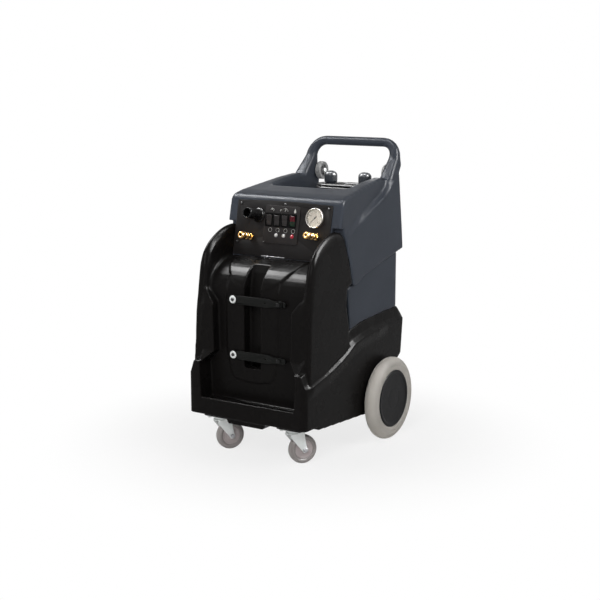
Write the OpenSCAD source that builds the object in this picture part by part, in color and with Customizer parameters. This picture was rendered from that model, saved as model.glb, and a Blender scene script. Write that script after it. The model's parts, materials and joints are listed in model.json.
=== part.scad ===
// Portable carpet extractor: black moulded base on two casters and two large rear wheels,
// grey tanks with a moulded handle, a tilted control panel and a recessed front.
// Millimetres. +Z up, the front faces -Y, and the floor is z = 0.

/* [Base] */
// Width of the skirt round the bottom of the base
skirt_w = 492; // [491:1:500]
// Width over the base's upper walls and over the upper tank
body_w = 480; // [472:1:480]
// Length of the base from the skirt's front to its rear face
base_l = 688; // [684:1:694]
// Height of the mounting pads above the floor
caster_h = 127; // [124:1:130]
// Half width of the tray opening at the skirt
tray_half_w = 202; // [196:1:206]
// Height of the tray floor in the front recess
tray_z = 193; // [186:1:198]
// Height of the lip along the tray's front edge
lip_h = 11; // [6:1:16]
// Thickness of that lip
lip_t = 10; // [6:1:14]
// Distance of the recess's back face behind the skirt's front
recess_d = 70; // [62:1:74]
// Half width of the recess between the thick side walls
recess_half_w = 163; // [156:1:168]
// Wall left round the cavity in the base
base_wall = 9; // [6:1:12]

/* [Wand channel] */
// Width of the channel for the wand's tube
channel_w = 68; // [60:1:74]
// Depth of the channel behind the recess's back face
channel_depth = 35; // [28:1:40]
// Sideways place of the channel's middle
channel_x = -18; // [-26:1:-10]
// Height of the channel's floor
channel_z = 316; // [310:1:330]
// Height of the pocket at the channel's foot
pocket_h = 34; // [28:1:40]
// Extra depth of that pocket
pocket_depth = 18; // [12:1:24]
// Height of the raised door field round the channel
door_lift = 3; // [2:0.5:4]
// Height of the raised bib over the shoulder
bib_lift = 6; // [4:0.5:8]

/* [Straps] */
// Height of the lower strap above the floor
strap_low_z = 360; // [354:1:372]
// Distance between the two straps
strap_pitch = 197; // [186:1:200]
// Thickness of the rubber strap
strap_t = 6; // [4:0.5:8]
// Height of the strap's broad middle
strap_h = 30; // [26:1:34]
// Distance from the strap's screw to its hook
strap_reach = 192; // [180:1:196]
// How far the strap stands off the recess's back face
strap_gap = 9; // [7:0.5:12]
// Radius of the strap screw's shank
strap_screw_r = 4; // [3:0.5:5]

/* [Lower housing] */
// Width of the lower grey housing
housing_w = 456; // [448:1:462]
// Radius of its upright rear corners
housing_corner = 30; // [20:1:36]
// Wall of the lower housing
housing_wall = 8; // [5:1:10]

/* [Upper tank] */
// Half width of the valley between the tank's side walls
valley_half_w = 160; // [157:1:162]
// Half width over the upper tank's side walls where the handle's legs begin
handle_foot_half_w = 197; // [192:1:201]
// Height of the valley's basin floor
basin_z = 852; // [846:1:858]
// Height of the rear shelf that carries the cord hooks
shelf_z = 873; // [868:1:878]
// Height of the handle bar's axis
handle_z = 1073; // [1060:1:1090]
// Radius of the handle bar
handle_r = 17.5; // [15:0.5:19]
// Bend radius of the handle's corners
handle_bend = 56; // [48:1:60]
// Radius of the upper tank's front corners
tank_corner = 12; // [8:1:20]

/* [Control panel] */
// Width of the control panel
panel_w = 399; // [390:1:402]
// Length of the panel along its slope
panel_l = 197; // [190:1:198]
// Thickness of the panel
panel_t = 3; // [2:0.5:4]
// Backward lean of the panel
panel_tilt = 12; // [10:0.5:14]
// Rise of the panel's arched top edge
panel_arch = 5; // [3:1:8]
// Depth of the control pocket behind the panel
control_depth = 46; // [42:1:48]
// Width of the switch plate
plate_w = 146; // [140:1:152]
// Length of the switch plate along the slope
plate_l = 122; // [118:1:126]
// Thickness of the switch plate
plate_t = 2.5; // [2:0.5:3]
// Distance between neighbouring rocker switches
rocker_pitch = 33; // [32:0.5:34]
// Width of a rocker
rocker_w = 21; // [19:0.5:22]
// Length of a rocker
rocker_l = 40; // [36:1:42]
// Full throw of a rocker in degrees
rocker_throw = 20; // [14:1:22]
// Radius of a rocker's pivot pin
rocker_pin_r = 1.5; // [1.2:0.1:1.8]
// Radius of an indicator lens
lens_r = 5.5; // [5:0.5:6]

/* [Pressure gauge] */
// Radius of the gauge's bezel
gauge_r = 35; // [33:0.5:36]
// Depth of the gauge case behind the panel
gauge_case_l = 30; // [26:1:34]
// Height of the bezel in front of the panel
bezel_h = 9; // [8:0.5:11]

/* [Ports] */
// Radius of the vacuum port's tube
port_r = 19; // [18:0.25:20]
// Radius of the vacuum port's bore
port_bore_r = 15; // [14:0.25:16]
// Length of the vacuum port in front of the panel
port_l = 78; // [70:1:86]
// Radius of the vacuum port's flange
port_flange_r = 26; // [24:1:28]
// Radius of a coupler's sleeve
sleeve_r = 12.5; // [12:0.25:13.5]
// Length of a coupler in front of the panel
coupler_l = 72; // [66:1:78]
// Radius of the left coupler's bore
coupler_left_bore_r = 6; // [5:0.25:6.5]
// Radius of the right coupler's bore
coupler_right_bore_r = 4; // [3.5:0.25:5]
// Travel of a coupler's sleeve
sleeve_travel = 5; // [3:0.5:6]

/* [Casters] */
// Radius of a caster wheel
caster_r = 51; // [48:0.5:52]
// Width of a caster wheel
caster_w = 32; // [28:1:34]
// Sideways distance of a caster's swivel axis from the middle
caster_x = 155; // [150:1:160]
// Distance of the swivel axis behind the skirt's front
caster_d = 68.5; // [66:0.5:72]
// Trail of the wheel behind the swivel axis
caster_trail = 32; // [28:1:34]
// Angle that the casters are turned by at rest
caster_turn = -30; // [-40:1:-20]
// Radius of a caster's axle bolt
caster_bolt_r = 5; // [4:0.25:6]
// Radius of the swivel's kingpin
kingpin_r = 7; // [6:0.25:8]

/* [Rear wheels] */
// Radius of a rear wheel
wheel_r = 152.4; // [150:0.2:154]
// Width of a rear tyre
tyre_w = 52; // [48:1:56]
// Radius of the rim under the tyre
rim_r = 106; // [100:1:112]
// Distance of the axle behind the skirt's front
axle_d = 520; // [514:1:526]
// Radius of the axle
axle_r = 9.5; // [8:0.25:11]
// Gap between the skirt and a rear wheel
wheel_gap = 3.5; // [3:0.5:8]

/* [Loading wheels] */
// Radius of a loading wheel
load_r = 34; // [32:0.5:35]
// Width of a loading wheel
load_w = 22; // [20:0.5:23]
// Radius of the bolt that a loading wheel turns on
load_bolt_r = 5; // [4:0.25:6]
// Height of that bolt above the floor
load_z = 957; // [952:1:962]

/* [Cord] */
// Diameter of the power cord
cord_dia = 10; // [9.5:0.1:10.4]
// Sideways distance of a cord hook from the middle
hook_x = 75; // [72:1:78]
// Radius of a cord hook's shaft
hook_r = 20; // [18:0.5:20.5]
// Height of a cord hook above its shelf
hook_h = 89; // [80:1:96]
// Radius of a cord hook's flared tip
hook_tip_r = 25; // [23:0.5:26]

/* [Hidden] */
$fn = 64;

// The origin lies this far behind the skirt's front, in the middle of the whole depth
origin_d = 380;
// Place of the control panel's top edge
panel_top_z = 882.7;
panel_top_d = 246.7;
// Radial running clearance of pins and shafts
running_gap = 0.06;
// Gap between pieces that lie close without bearing on each other
seat_gap = 0.3;
// Overlap that keeps unions and cuts from ending on a shared face
eps = 0.5;

function Y(d) = d - origin_d;
function yz(points) = [for (p = points) [Y(p[0]), p[1]]];
function arc_points(centre, rx, ry, from, to, steps) =
    [for (i = [0:steps]) let (a = from + (to - from) * i / steps) centre + [rx * cos(a), ry * sin(a)]];
function mirrored(points) = concat(points, [for (i = [len(points) - 1:-1:0]) [-points[i][0], points[i][1]]]);

// A profile in distance and height, drawn out along X
module along_x(points, width, middle = 0) {
    translate([middle, 0, 0])
        rotate([90, 0, 90])
            linear_extrude(width, center = true)
                polygon(yz(points));
}

// A profile in X and height, drawn out from one distance to another
module along_y(points, from, to) {
    translate([0, Y(to), 0])
        rotate([90, 0, 0])
            linear_extrude(to - from)
                polygon(points);
}

// A cylinder along X
module rod_x(r, from, to) {
    translate([from, 0, 0])
        rotate([0, 90, 0])
            cylinder(r = r, h = to - from);
}

module both_sides() {
    children();
    mirror([1, 0, 0]) children();
}

// Skin over rings with as many points each, capped at both ends
module loft(rings) {
    n = len(rings[0]);
    last = len(rings) - 1;
    sides = [for (i = [0:last - 1], j = [0:n - 1])
        let (a = i * n + j, b = i * n + (j + 1) % n)
        each [[a, b, b + n], [a, b + n, a + n]]];
    caps = [[for (j = [n - 1:-1:0]) j], [for (j = [0:n - 1]) last * n + j]];
    polyhedron([for (ring = rings) each ring], concat(sides, caps), convexity = 10);
}

function ring_at(x, points) = [for (p = points) [x, Y(p[0]), p[1]]];

// Rounded rectangle from one corner to the other
module round_rect(low, high, r) {
    translate([low[0] + r, low[1] + r]) circle(r);
    translate([high[0] - r, low[1] + r]) circle(r);
    translate([low[0] + r, high[1] - r]) circle(r);
    translate([high[0] - r, high[1] - r]) circle(r);
    translate([low[0] + r, low[1]]) square([high[0] - low[0] - 2 * r, high[1] - low[1]]);
    translate([low[0], low[1] + r]) square([high[0] - low[0], high[1] - low[1] - 2 * r]);
}

// ---- Base ----------------------------------------------------------------

skirt_half_w = skirt_w / 2;
body_half_w = body_w / 2;
// The ledge where the skirt steps in to the walls, at the skirt's outer face
ledge_line = [[12, 287], [149, 320], [220, 343], [267, 363], [317, 391], [380, 405], [443, 412], [563, 419]];
rear_corner_z = 424;
// Rise of the bevel from the ledge to the shelf that the lower housing stands on
shelf_rise = 46;
function shelf_z_at(d) = lookup(d, concat(ledge_line, [[base_l, rear_corner_z]])) + shelf_rise;
rear_low_z = 292;
rear_lean = 14;
corner_set = 12;
// Where the shelf bends down to the rear face
rear_bevel_d = base_l - 26;
// Heights of the bottom edge, from the front corner to the foot of the slope
front_under_z = 142;
under_step_d = 86;
under_z = 131;
slope_foot_d = 400;
slope_foot_z = 113;

// One outline of the skirt: how far its ends are set in and how much its ledge is raised
function skirt_ring(x, set_in, rise) = ring_at(x, concat(
    [[set_in, front_under_z], [set_in, ledge_line[0][1] + rise]],
    [for (i = [1:len(ledge_line) - 1]) [ledge_line[i][0], ledge_line[i][1] + rise]],
    [[rear_bevel_d - set_in, shelf_z_at(rear_bevel_d) - shelf_rise + rise],
        [base_l - set_in, rear_corner_z - 3 + rise * 0.45], [base_l - rear_lean - set_in, rear_low_z],
     [slope_foot_d, slope_foot_z], [under_step_d, under_z], [under_step_d - 8, front_under_z]]));

module skirt() {
    sizes = [[0, corner_set, 0], [3, 5, 4], [9, 1.5, 14], [20, 0, shelf_rise]];
    left = [for (s = sizes) skirt_ring(-skirt_half_w + s[0], s[1], s[2])];
    right = [for (i = [len(sizes) - 1:-1:0])
        skirt_ring(skirt_half_w - sizes[i][0], sizes[i][1], sizes[i][2])];
    loft(concat(left, right));
}

// Outlines of the upper walls, from the outer face to the inner one
wall_back = [[292, 692], [314, 606], [281, 592], [272, 533], [292, 445], [292, 380]];
wall_outer = concat([[30, 290], [31, 330], [36, 395], [42, 520], [50, 600], [61, 670], [72, 697], [93, 717],
    [121, 731], [154, 743], [190, 752], [228, 761], [264, 768]], wall_back);
wall_crest = concat([[26, 290], [28, 326], [33, 385], [36, 520], [43, 602], [53, 671], [69, 718], [95, 749],
    [127, 771], [160, 787], [195, 797], [228, 799], [256, 790]], wall_back);
wall_inner = concat([[1, 290], [1, 324], [33, 370], [33, 530], [48, 597], [64, 669], [84, 711], [115, 738],
    [145, 754], [174, 770], [201, 785], [228, 797], [252, 792]], wall_back);
wall_inner_half_w = 206;
crest_share = 0.45;
// The crest is round: this outline lies close to its height but near the outer face
round_share = 0.8;
wall_round = [for (i = [0:len(wall_outer) - 1]) wall_outer[i] + 0.72 * (wall_crest[i] - wall_outer[i])];
// Draft of the moulded walls: they stand wider below this height and narrower above it
wall_draft = 0.02;
wall_middle_z = 550;
function wall_flare(z) = wall_draft * (wall_middle_z - z);
function wall_ring(side, share, points) = [for (p = points)
    [side * (wall_inner_half_w + share * (body_half_w + wall_flare(p[1]) - wall_inner_half_w)), Y(p[0]), p[1]]];

module walls() {
    loft([wall_ring(-1, 1, wall_outer), wall_ring(-1, round_share, wall_round),
        wall_ring(-1, crest_share, wall_crest), wall_ring(-1, 0, wall_inner), wall_ring(1, 0, wall_inner),
        wall_ring(1, crest_share, wall_crest), wall_ring(1, round_share, wall_round),
        wall_ring(1, 1, wall_outer)]);
}

// The carcass behind the walls, up to the lower housing's front
housing_front = [[300, 584], [318, 443]];
carcass = [[266, 400], [266, 660], [294, 664], [313, 606], [299, 584], [317, 443], [317, 400]];
carcass_w = 2 * wall_inner_half_w;

// The recess's outline seen from the front, right half from the floor up
recess_top_half_w = panel_w / 2 + 4.5;
recess_side = [[tray_half_w - 6, tray_z], [tray_half_w, 327], [recess_half_w - 2, 368],
    [recess_half_w + 2, 539], [recess_top_half_w, 590], [recess_top_half_w, 1000]];
// The recess's back seen from the side: a face, the round shoulder, then the panel's slope
shoulder_z = 575;
shoulder_end_z = 684;
function recess_back(lift) = concat([[recess_d - lift, tray_z]],
    arc_points([recess_d + 130, shoulder_z], 130 + lift, shoulder_end_z - shoulder_z + lift, 180, 98, 10),
    [[panel_d(shoulder_end_z + lift) - 1, shoulder_end_z + lift], [panel_d(1000), 1000]]);
function recess_region(lift) = concat([[-60, 1000], [-60, tray_z]], recess_back(lift));

bib_outline = [[-168, 720], [-150, 668], [-118, 632], [-62, 598], [-20, 588], [20, 592], [60, 610],
    [95, 634], [122, 668], [160, 720]];
door_outline = [[-125, 656], [-125, 380], [-108, 292], [-94, 276], [-50, 268], [14, 268], [58, 276],
    [72, 292], [89, 380], [89, 656]];

module bib_field() along_y(bib_outline, -80, 300);
module door_field() along_y(door_outline, -80, 300);

// The space of the recess, less deep over the raised bib and door fields
module recess() {
    intersection() {
        along_y(mirrored(recess_side), -50, 300);
        union() {
            along_x(recess_region(bib_lift), 600);
            difference() {
                along_x(recess_region(door_lift), 600);
                bib_field();
            }
            difference() {
                along_x(recess_region(0), 600);
                bib_field();
                door_field();
            }
        }
    }
}

// The channel's back stands upright and runs out on the shoulder
module channel() {
    depth = recess_d + channel_depth;
    along_x([[0, channel_z], [depth, channel_z], [depth, 560], [depth + 4, 600], [depth + 14, 648],
        [depth + 28, 674], [0, 700]], channel_w, channel_x);
    along_x([[0, channel_z], [depth + pocket_depth, channel_z], [depth + pocket_depth, channel_z + pocket_h - 8],
        [depth, channel_z + pocket_h], [0, channel_z + pocket_h]], channel_w - 14, channel_x);
}

// Bay between the walls where the upper tank's front block stands
bay_half_w = panel_w / 2 + 4;
bay_z = 664;
// Lowest edge of the tilted panel
panel_foot_z = panel_top_z - panel_l * cos(panel_tilt) - panel_t * sin(panel_tilt);
module bay() {
    foot = panel_foot_z - seat_gap;
    along_x([[face_d(bay_z) - seat_gap, bay_z], [face_d(foot) - seat_gap, foot], [panel_d(foot) - 6, foot],
        [panel_d(1000) - 6, 1000], [500, 1000], [500, bay_z]], 2 * bay_half_w);
}

// Sealed space for the motors: a low wide part inside the skirt and a narrower one above it
cavity_z = caster_h + 13;
cavity_front_d = recess_d + channel_depth + pocket_depth + base_wall + 14;
cavity_foot = [[base_l - 30, 320], [500, 218], [420, 166], [404, cavity_z], [cavity_front_d, cavity_z]];
cavity_rear = [base_l - 22, rear_corner_z - base_wall - 4];
cavity_low = concat([for (p = ledge_line) if (p[0] > cavity_front_d) [p[0], p[1] - base_wall]],
    [cavity_rear], cavity_foot, [[cavity_front_d, 320 - base_wall]]);
cavity_high = concat([[cavity_front_d, 570], [cavity_front_d + 20, 604], [cavity_front_d + 60, 634], [288, 634],
    [288, shelf_z_at(288) - base_wall], [base_l - 38, shelf_z_at(base_l - 38) - base_wall], cavity_rear], cavity_foot);

pad_w = 104;
pad_l = 78;
module caster_pads() {
    both_sides()
        translate([caster_x, Y(caster_d), caster_h])
            linear_extrude(30)
                round_rect([-pad_w / 2, -pad_l / 2], [pad_w / 2, pad_l / 2], 8);
}

// Hump between the casters along the front of the underside
hump_z = caster_h - 4;
module hump() {
    along_y([[-96, 150], [-82, hump_z], [64, hump_z], [84, 150]], 6, 100);
}

vent_count = 7;
vent_pitch = 16;
module vents() {
    for (i = [0:vent_count - 1])
        translate([-60 - i * vent_pitch, Y(base_l) - 16, 330])
            rotate([-90, 0, 0])
                translate([0, 0, 8])
                    linear_extrude(20)
                        round_rect([-4, -60], [4, 0], 3.9);
}

screw_hole_l = 20;
strap_left_x = channel_x - 73;
strap_levels = [strap_low_z, strap_low_z + strap_pitch];
gland_x = 58;
gland_z = 392;
gland_r = 12;
gland_d = base_l + 2;

module base_tank() color([0.11, 0.105, 0.105]) {
    difference() {
        union() {
            // one closed skin over skirt, walls and carcass, at the skirt's width
            resize([skirt_w, 0, 0]) {
                skirt();
                walls();
                along_x(carcass, carcass_w);
            }
            caster_pads();
            hump();
            // round boss that the cord's gland is screwed into
            translate([gland_x, Y(gland_d) - 14, gland_z])
                rotate([-90, 0, 0])
                    cylinder(r = gland_r + 9, h = 14);
        }
        recess();
        channel();
        bay();
        along_x(cavity_low, skirt_w - 2 * base_wall - 4);
        along_x(cavity_high, body_w - 2 * base_wall - 8);
        vents();
        for (z = strap_levels, x = [strap_left_x, strap_left_x + strap_reach])
            translate([x, Y(recess_d) - 10, z])
                rotate([-90, 0, 0])
                    cylinder(r = strap_screw_r + running_gap, h = 10 + screw_hole_l);
    }
    tray_lip();
}

module tray_lip() {
    along_y([[-tray_half_w + 2, tray_z - 20], [-tray_half_w + 2, tray_z + lip_h], [tray_half_w - 2, tray_z + lip_h],
        [tray_half_w - 2, tray_z - 20]], 0.5, lip_t);
}

// ---- Lower housing -------------------------------------------------------

// Distance of the handle's bar, and of the rear face under it
handle_d = 732;
rear_low_d = handle_d - 25;
// Lower edge of the upper tank, which the housing reaches up to
seam_line = [[322, 596], [350, 598], [402, 621], [504, 643], [620, 667], [rear_low_d, 685]];
function seam_at(d) = lookup(d, seam_line);
housing_rear_low_d = 660;
housing_rear_d = 673;
// Distances where the housing's lower and upper edges bend
housing_low_d = [housing_front[1][0], 380, 443, 563, housing_rear_low_d];
housing_high_d = [housing_rear_d, 620, 504, 402, 350, 322];

module lower_housing() color([0.26, 0.28, 0.32])
    difference() {
        intersection() {
            along_x(concat([for (d = housing_low_d) [d, shelf_z_at(d)]],
                [for (d = housing_high_d) [d, seam_at(d)]], [housing_front[0]]), housing_w);
            translate([0, 0, 400])
                linear_extrude(300)
                    round_rect([-housing_w / 2, Y(280)], [housing_w / 2, Y(housing_rear_d)], housing_corner);
        }
        along_x(concat([for (d = [340, 380, 443, 563, housing_rear_low_d - 12]) [d, shelf_z_at(d) + housing_wall]],
            [for (d = [housing_rear_d - 14, 620, 504, 402, 350]) [d, seam_at(d) - housing_wall - 2]]),
            housing_w - 2 * housing_wall);
    }

// ---- Upper tank ----------------------------------------------------------

// Distance of the panel's outer plane and of the tank's face behind it, at a height
function panel_d(z) = panel_top_d - (panel_top_z - z) * tan(panel_tilt);
function face_d(z) = panel_d(z) + panel_t / cos(panel_tilt);

rear_foot_z = 677;
function rear_d(z) = rear_low_d + (z - rear_foot_z) * (handle_d + 17 - rear_low_d) / (1073 - rear_foot_z);

ridge_d = handle_d - 119;
ridge_z = 957;
upper_front_half_w = body_half_w - 2;
upper_front_d = 250;
// Half width of the upper body, whose side walls converge towards the handle
function upper_x(d) = upper_front_half_w -
    (d - upper_front_d) * (upper_front_half_w - handle_foot_half_w) / (ridge_d - upper_front_d);
function upper_wall_x(d) = d < ridge_d ? upper_x(d) : min(handle_foot_half_w + (d - ridge_d) * 0.3, leg_out - 6);

// The wide lower body: its side walls, the crease where they end, and the bright band above the crease
wide_lean_z = 772;
function wide_x(d, z) = body_half_w + 1 - 0.0312 * (d - 286) - 0.077 * max(0, z - wide_lean_z);
crease_line = [[200, 737], [250, 757], [286, 772], [413, 827], [550, 882], [604, 905], [650, 938]];
band_top = [[200, 786], [258, 801], [408, 847], [575, 900], [609, 926], [627, 947]];
wide_stations = [240, 258, 286, 350, 411, 480, 550, 577, 604, 612, 627, 650, 700, handle_d + 38];
wide_low_z = 580;

function wide_ring(d) = let (low = lookup(d, crease_line), high = lookup(d, band_top),
    right = [[wide_x(d, wide_low_z), wide_low_z], [wide_x(d, min(wide_lean_z, low - 2)), min(wide_lean_z, low - 2)],
        [wide_x(d, low), low], [min(upper_wall_x(d), wide_x(d, low) - 4), high]])
    [for (p = mirrored(right)) [p[0], Y(d), p[1]]];

// What the wide body fills seen from the side, behind the base's walls and above the seam
wide_outline = concat([[295, 694], [266, 774], [255, 806], [200, 806], [200, 960], [rear_d(960), 960]],
    [for (i = [len(seam_line) - 1:-1:0]) seam_line[i]]);
// The body between the converging side walls
upper_outline = [[150, bay_z], [150, 888], [250, 888], [262, 903], [300, 914], [388, 928], [511, 947],
    [ridge_d, ridge_z], [rear_d(ridge_z), ridge_z], [rear_d(720), 720], [400, 720], [340, bay_z]];
block_w = 2 * bay_half_w - 1;

module wide_body() {
    intersection() {
        loft([for (d = wide_stations) wide_ring(d)]);
        along_x(wide_outline, 600);
    }
}

module front_face_trim() {
    half_w = upper_x(face_d(800));
    translate([0, Y(panel_top_d) + panel_t / cos(panel_tilt), panel_top_z])
        rotate([-panel_tilt, 0, 0])
            translate([0, 0, -420])
                linear_extrude(560)
                    round_rect([-half_w, 0], [half_w, 700], tank_corner);
}

module upper_body() {
    intersection() {
        along_x(upper_outline, 600);
        translate([0, 0, 600])
            linear_extrude(500)
                polygon(mirrored([[upper_x(150), Y(150)], [upper_x(ridge_d), Y(ridge_d)],
                    [upper_x(ridge_d), Y(800)]]));
        // narrow in front, where it stands between the base's walls
        union() {
            along_x([[100, 600], [100, 1000], [face_d(806) + 80, 1000], [340, 780], [340, 600]], block_w);
            along_x([[255, 806], [200, 806], [200, 1000], [800, 1000], [800, 700], [320, 700]], 600);
        }
        front_face_trim();
    }
}

// The rear corners are cut off at an angle in plan; the cut leans in and runs out under the handle's bend
corner_turn = 33;
corner_reach = 365.6;
corner_rings = [[560, 7.8], [965, -16.5], [1012, 0]];
module corner_cut() {
    loft([for (c = corner_rings) let (reach = corner_reach + c[1])
        [for (x = [300, 140]) [x, (reach - x * cos(corner_turn)) / sin(corner_turn), c[0]],
            [300, (reach - 140 * cos(corner_turn)) / sin(corner_turn), c[0]]]]);
}

// The handle is one loft: from flat feet on the side walls through two bends to the round bar
leg_foot_z = 884;
leg_mid_z = ridge_z - 9;
leg_top_z = handle_z - handle_bend;
leg_out = handle_foot_half_w + 17;
leg_r = handle_r + 2.5;
handle_lean = 21;
handle_points = 24;
leg_heights = [leg_foot_z, 916, leg_mid_z, leg_mid_z + 14, leg_mid_z + 32, leg_mid_z + 52];
bend_steps = 6;
handle_bar_half = handle_foot_half_w - handle_bend - 14.6;
leg_axis_x = handle_bar_half + handle_bend;
leg_axis_d = handle_d - handle_lean;

// Sides of a leg's section at a height: inner, outer, front and rear
function leg_sides(z) = [
    lookup(z, [[leg_mid_z, valley_half_w + 0.5], [leg_top_z, leg_axis_x - leg_r]]),
    lookup(z, [[leg_foot_z, leg_out + 4], [leg_mid_z, leg_out], [leg_top_z, leg_axis_x + leg_r]]),
    lookup(z, [[leg_foot_z, ridge_d - 1], [leg_mid_z, handle_d - 104], [leg_mid_z + 26, handle_d - 82],
        [leg_top_z, leg_axis_d - leg_r]]),
    lookup(z, [[leg_foot_z, rear_d(leg_foot_z) - 1.5], [leg_mid_z, rear_d(leg_mid_z) - 1.5],
        [leg_top_z, leg_axis_d + leg_r]])];

// Part of a section's half width or length at angle a: 0 is an oblong, 1 a circle
function reach(part, power) = sign(part) * pow(abs(part), power);
top_power = 0.65;

// The section turns from an oblong into the bar's circle on the way up and round the bend
function leg_ring(z) = let (s = leg_sides(z), power = lookup(z, [[leg_mid_z, 0.35], [leg_top_z, top_power]]))
    [for (j = [0:handle_points - 1]) let (a = -360 * j / handle_points)
        [(s[0] + s[1]) / 2 + (s[1] - s[0]) / 2 * reach(cos(a), power),
         Y((s[2] + s[3]) / 2) + (s[3] - s[2]) / 2 * reach(sin(a), power), z]];

function bend_ring(turn) = let (share = sin(turn), r = leg_r + (handle_r - leg_r) * share,
    power = top_power + (1 - top_power) * share)
    [for (j = [0:handle_points - 1]) let (a = -360 * j / handle_points,
        out = handle_bend + r * reach(cos(a), power))
        [handle_bar_half + out * cos(turn), Y(handle_d) - handle_lean * (1 - share) + r * reach(sin(a), power),
            leg_top_z + out * sin(turn)]];

function flipped(ring) = [for (p = ring) [-p[0], p[1], p[2]]];

module handle() {
    half = concat([for (z = leg_heights) leg_ring(z)], [for (i = [0:bend_steps]) bend_ring(90 * i / bend_steps)]);
    loft(concat(half, [for (i = [len(half) - 1:-1:0]) flipped(half[i])]));
}

// The lid stands in the valley's basin, close behind the foot of its front slope
cap_d = handle_d - 215;
cap_r = 50;
cap_clear = 4;
valley_slope_l = 74;
valley_front_d = cap_d - cap_r - cap_clear - valley_slope_l;
valley_corner = 30;
valley = [[valley_front_d, 1100], [valley_front_d, 924], [valley_front_d + 26, 884], [valley_front_d + 52, 862],
    [valley_front_d + valley_slope_l, basin_z], [handle_d - 160, basin_z], [handle_d - 146, shelf_z], [900, shelf_z], [900, 1100]];

module valley_space() {
    intersection() {
        along_x(valley, 2 * valley_half_w);
        translate([0, 0, 800])
            linear_extrude(400)
                round_rect([-valley_half_w, Y(valley_front_d - 1)], [valley_half_w, Y(960)], valley_corner);
    }
}

// Tank space under the basin, drawn from the side, and its plan
tank_wall = 10;
tank_top_z = basin_z - 12;
tank_space = concat([[352, seam_at(352) + tank_wall + 4], [345, 694], [300, 716], [300, tank_top_z],
    [rear_d(tank_top_z) - tank_wall - 3, tank_top_z], [rear_d(694) - tank_wall - 3, 700]],
    [for (d = [655, 504, 402]) [d, seam_at(d) + tank_wall]]);

module tank_cavity() {
    intersection() {
        along_x(tank_space, 600);
        translate([0, 0, 500])
            linear_extrude(400)
                polygon(mirrored([[bay_half_w - 14, Y(290)], [bay_half_w - 14, Y(346)],
                    [upper_x(346) - tank_wall, Y(346)], [handle_foot_half_w - tank_wall, Y(ridge_d)],
                    [handle_foot_half_w - tank_wall, Y(800)]]));
    }
}

module control_pocket() {
    on_panel()
        translate([0, 0, -panel_t - control_depth])
            linear_extrude(control_depth + eps)
                round_rect([-183, -168], [183, -13], 10);
}

module upper_tank() color([0.28, 0.30, 0.335])
    difference() {
        union() {
            difference() {
                union() {
                    wide_body();
                    upper_body();
                }
                valley_space();
                tank_cavity();
                translate([0, Y(cap_d), tank_top_z - 1]) cylinder(r = neck_r, h = 40);
            }
            handle();
        }
        both_sides() corner_cut();
        control_pocket();
        // holes of the loading wheels' bolts, and the flat seats of their heads
        both_sides()
            translate([0, Y(load_d), load_z]) {
                rod_x(load_bolt_r + running_gap, valley_half_w - 20, leg_out + 20);
                rod_x(load_head_r + 4, load_seat_x, leg_out + 20);
            }
    }

// ---- Control panel -------------------------------------------------------

// Places the panel's own frame: X across, Y up its slope from the top edge, Z out of it
module on_panel() {
    translate([0, Y(panel_top_d), panel_top_z])
        rotate([90 - panel_tilt, 0, 0])
            children();
}

gauge_at = [133, -47];
port_at = [-103, -51];
coupler_left_at = [-125, -130];
coupler_right_at = [146, -112];
plate_at = [-3, -86];
rocker_y = -64;
lens_y = -117.5;
lens_x = [-20, 12, 47];
panel_screw_at = [[-184, -12], [3, -7], [184, -12], [-184, -150], [184, -150]];
switch_hole_w = rocker_w + 4;
switch_hole_l = rocker_l + 4;
function rocker_x(i) = plate_at[0] - 3.5 + (i - 1.5) * rocker_pitch;
gauge_case_r = gauge_r - 4;
thread_r = 9;

module control_panel() color([0.13, 0.125, 0.13])
    on_panel()
        difference() {
            translate([0, 0, -panel_t])
                linear_extrude(panel_t)
                    polygon(concat([[-panel_w / 2, -panel_l], [-panel_w / 2, 0]],
                        [for (i = [1:7]) [panel_w * (i / 8 - 0.5), panel_arch * sin(180 * i / 8)]],
                        [[panel_w / 2, 0], [panel_w / 2, -panel_l]]));
            translate([gauge_at[0], gauge_at[1], -20]) cylinder(r = gauge_case_r + seat_gap, h = 40);
            translate([port_at[0], port_at[1], -20]) cylinder(r = port_r + seat_gap, h = 40);
            for (p = [coupler_left_at, coupler_right_at])
                translate([p[0], p[1], -20]) cylinder(r = thread_r + seat_gap, h = 40);
            for (p = panel_screw_at)
                translate([p[0], p[1], -20]) cylinder(r = 2.2, h = 40);
            for (i = [0:3])
                translate([rocker_x(i) - switch_hole_w / 2, rocker_y - switch_hole_l / 2, -20])
                    cube([switch_hole_w, switch_hole_l, 40]);
            for (x = lens_x)
                translate([x, lens_y, -20]) cylinder(r = lens_r - 1 + seat_gap, h = 40);
        }

module panel_screws() color([0.12, 0.12, 0.12])
    on_panel()
        for (p = panel_screw_at)
            translate([p[0], p[1], 0]) {
                rotate_extrude()
                    polygon([[0, 0], [4.5, 0], [4.2, 1.6], [2.6, 2.6], [0, 2.8]]);
                translate([0, 0, -panel_t]) cylinder(r = 2, h = panel_t + 0.1);
            }

module switch_plate() color([0.2, 0.2, 0.205])
    on_panel()
        translate([plate_at[0], plate_at[1], 0])
            difference() {
                linear_extrude(plate_t)
                    round_rect([-plate_w / 2, -plate_l / 2], [plate_w / 2, plate_l / 2], 10);
                for (i = [0:3])
                    translate([rocker_x(i) - plate_at[0] - switch_hole_w / 2,
                        rocker_y - plate_at[1] - switch_hole_l / 2, -5])
                        cube([switch_hole_w, switch_hole_l, 20]);
                for (x = lens_x)
                    translate([x - plate_at[0], lens_y - plate_at[1], -5])
                        cylinder(r = lens_r - 1 + seat_gap, h = 20);
            }

switch_depth = 30;
pivot_drop = 3;

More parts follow.
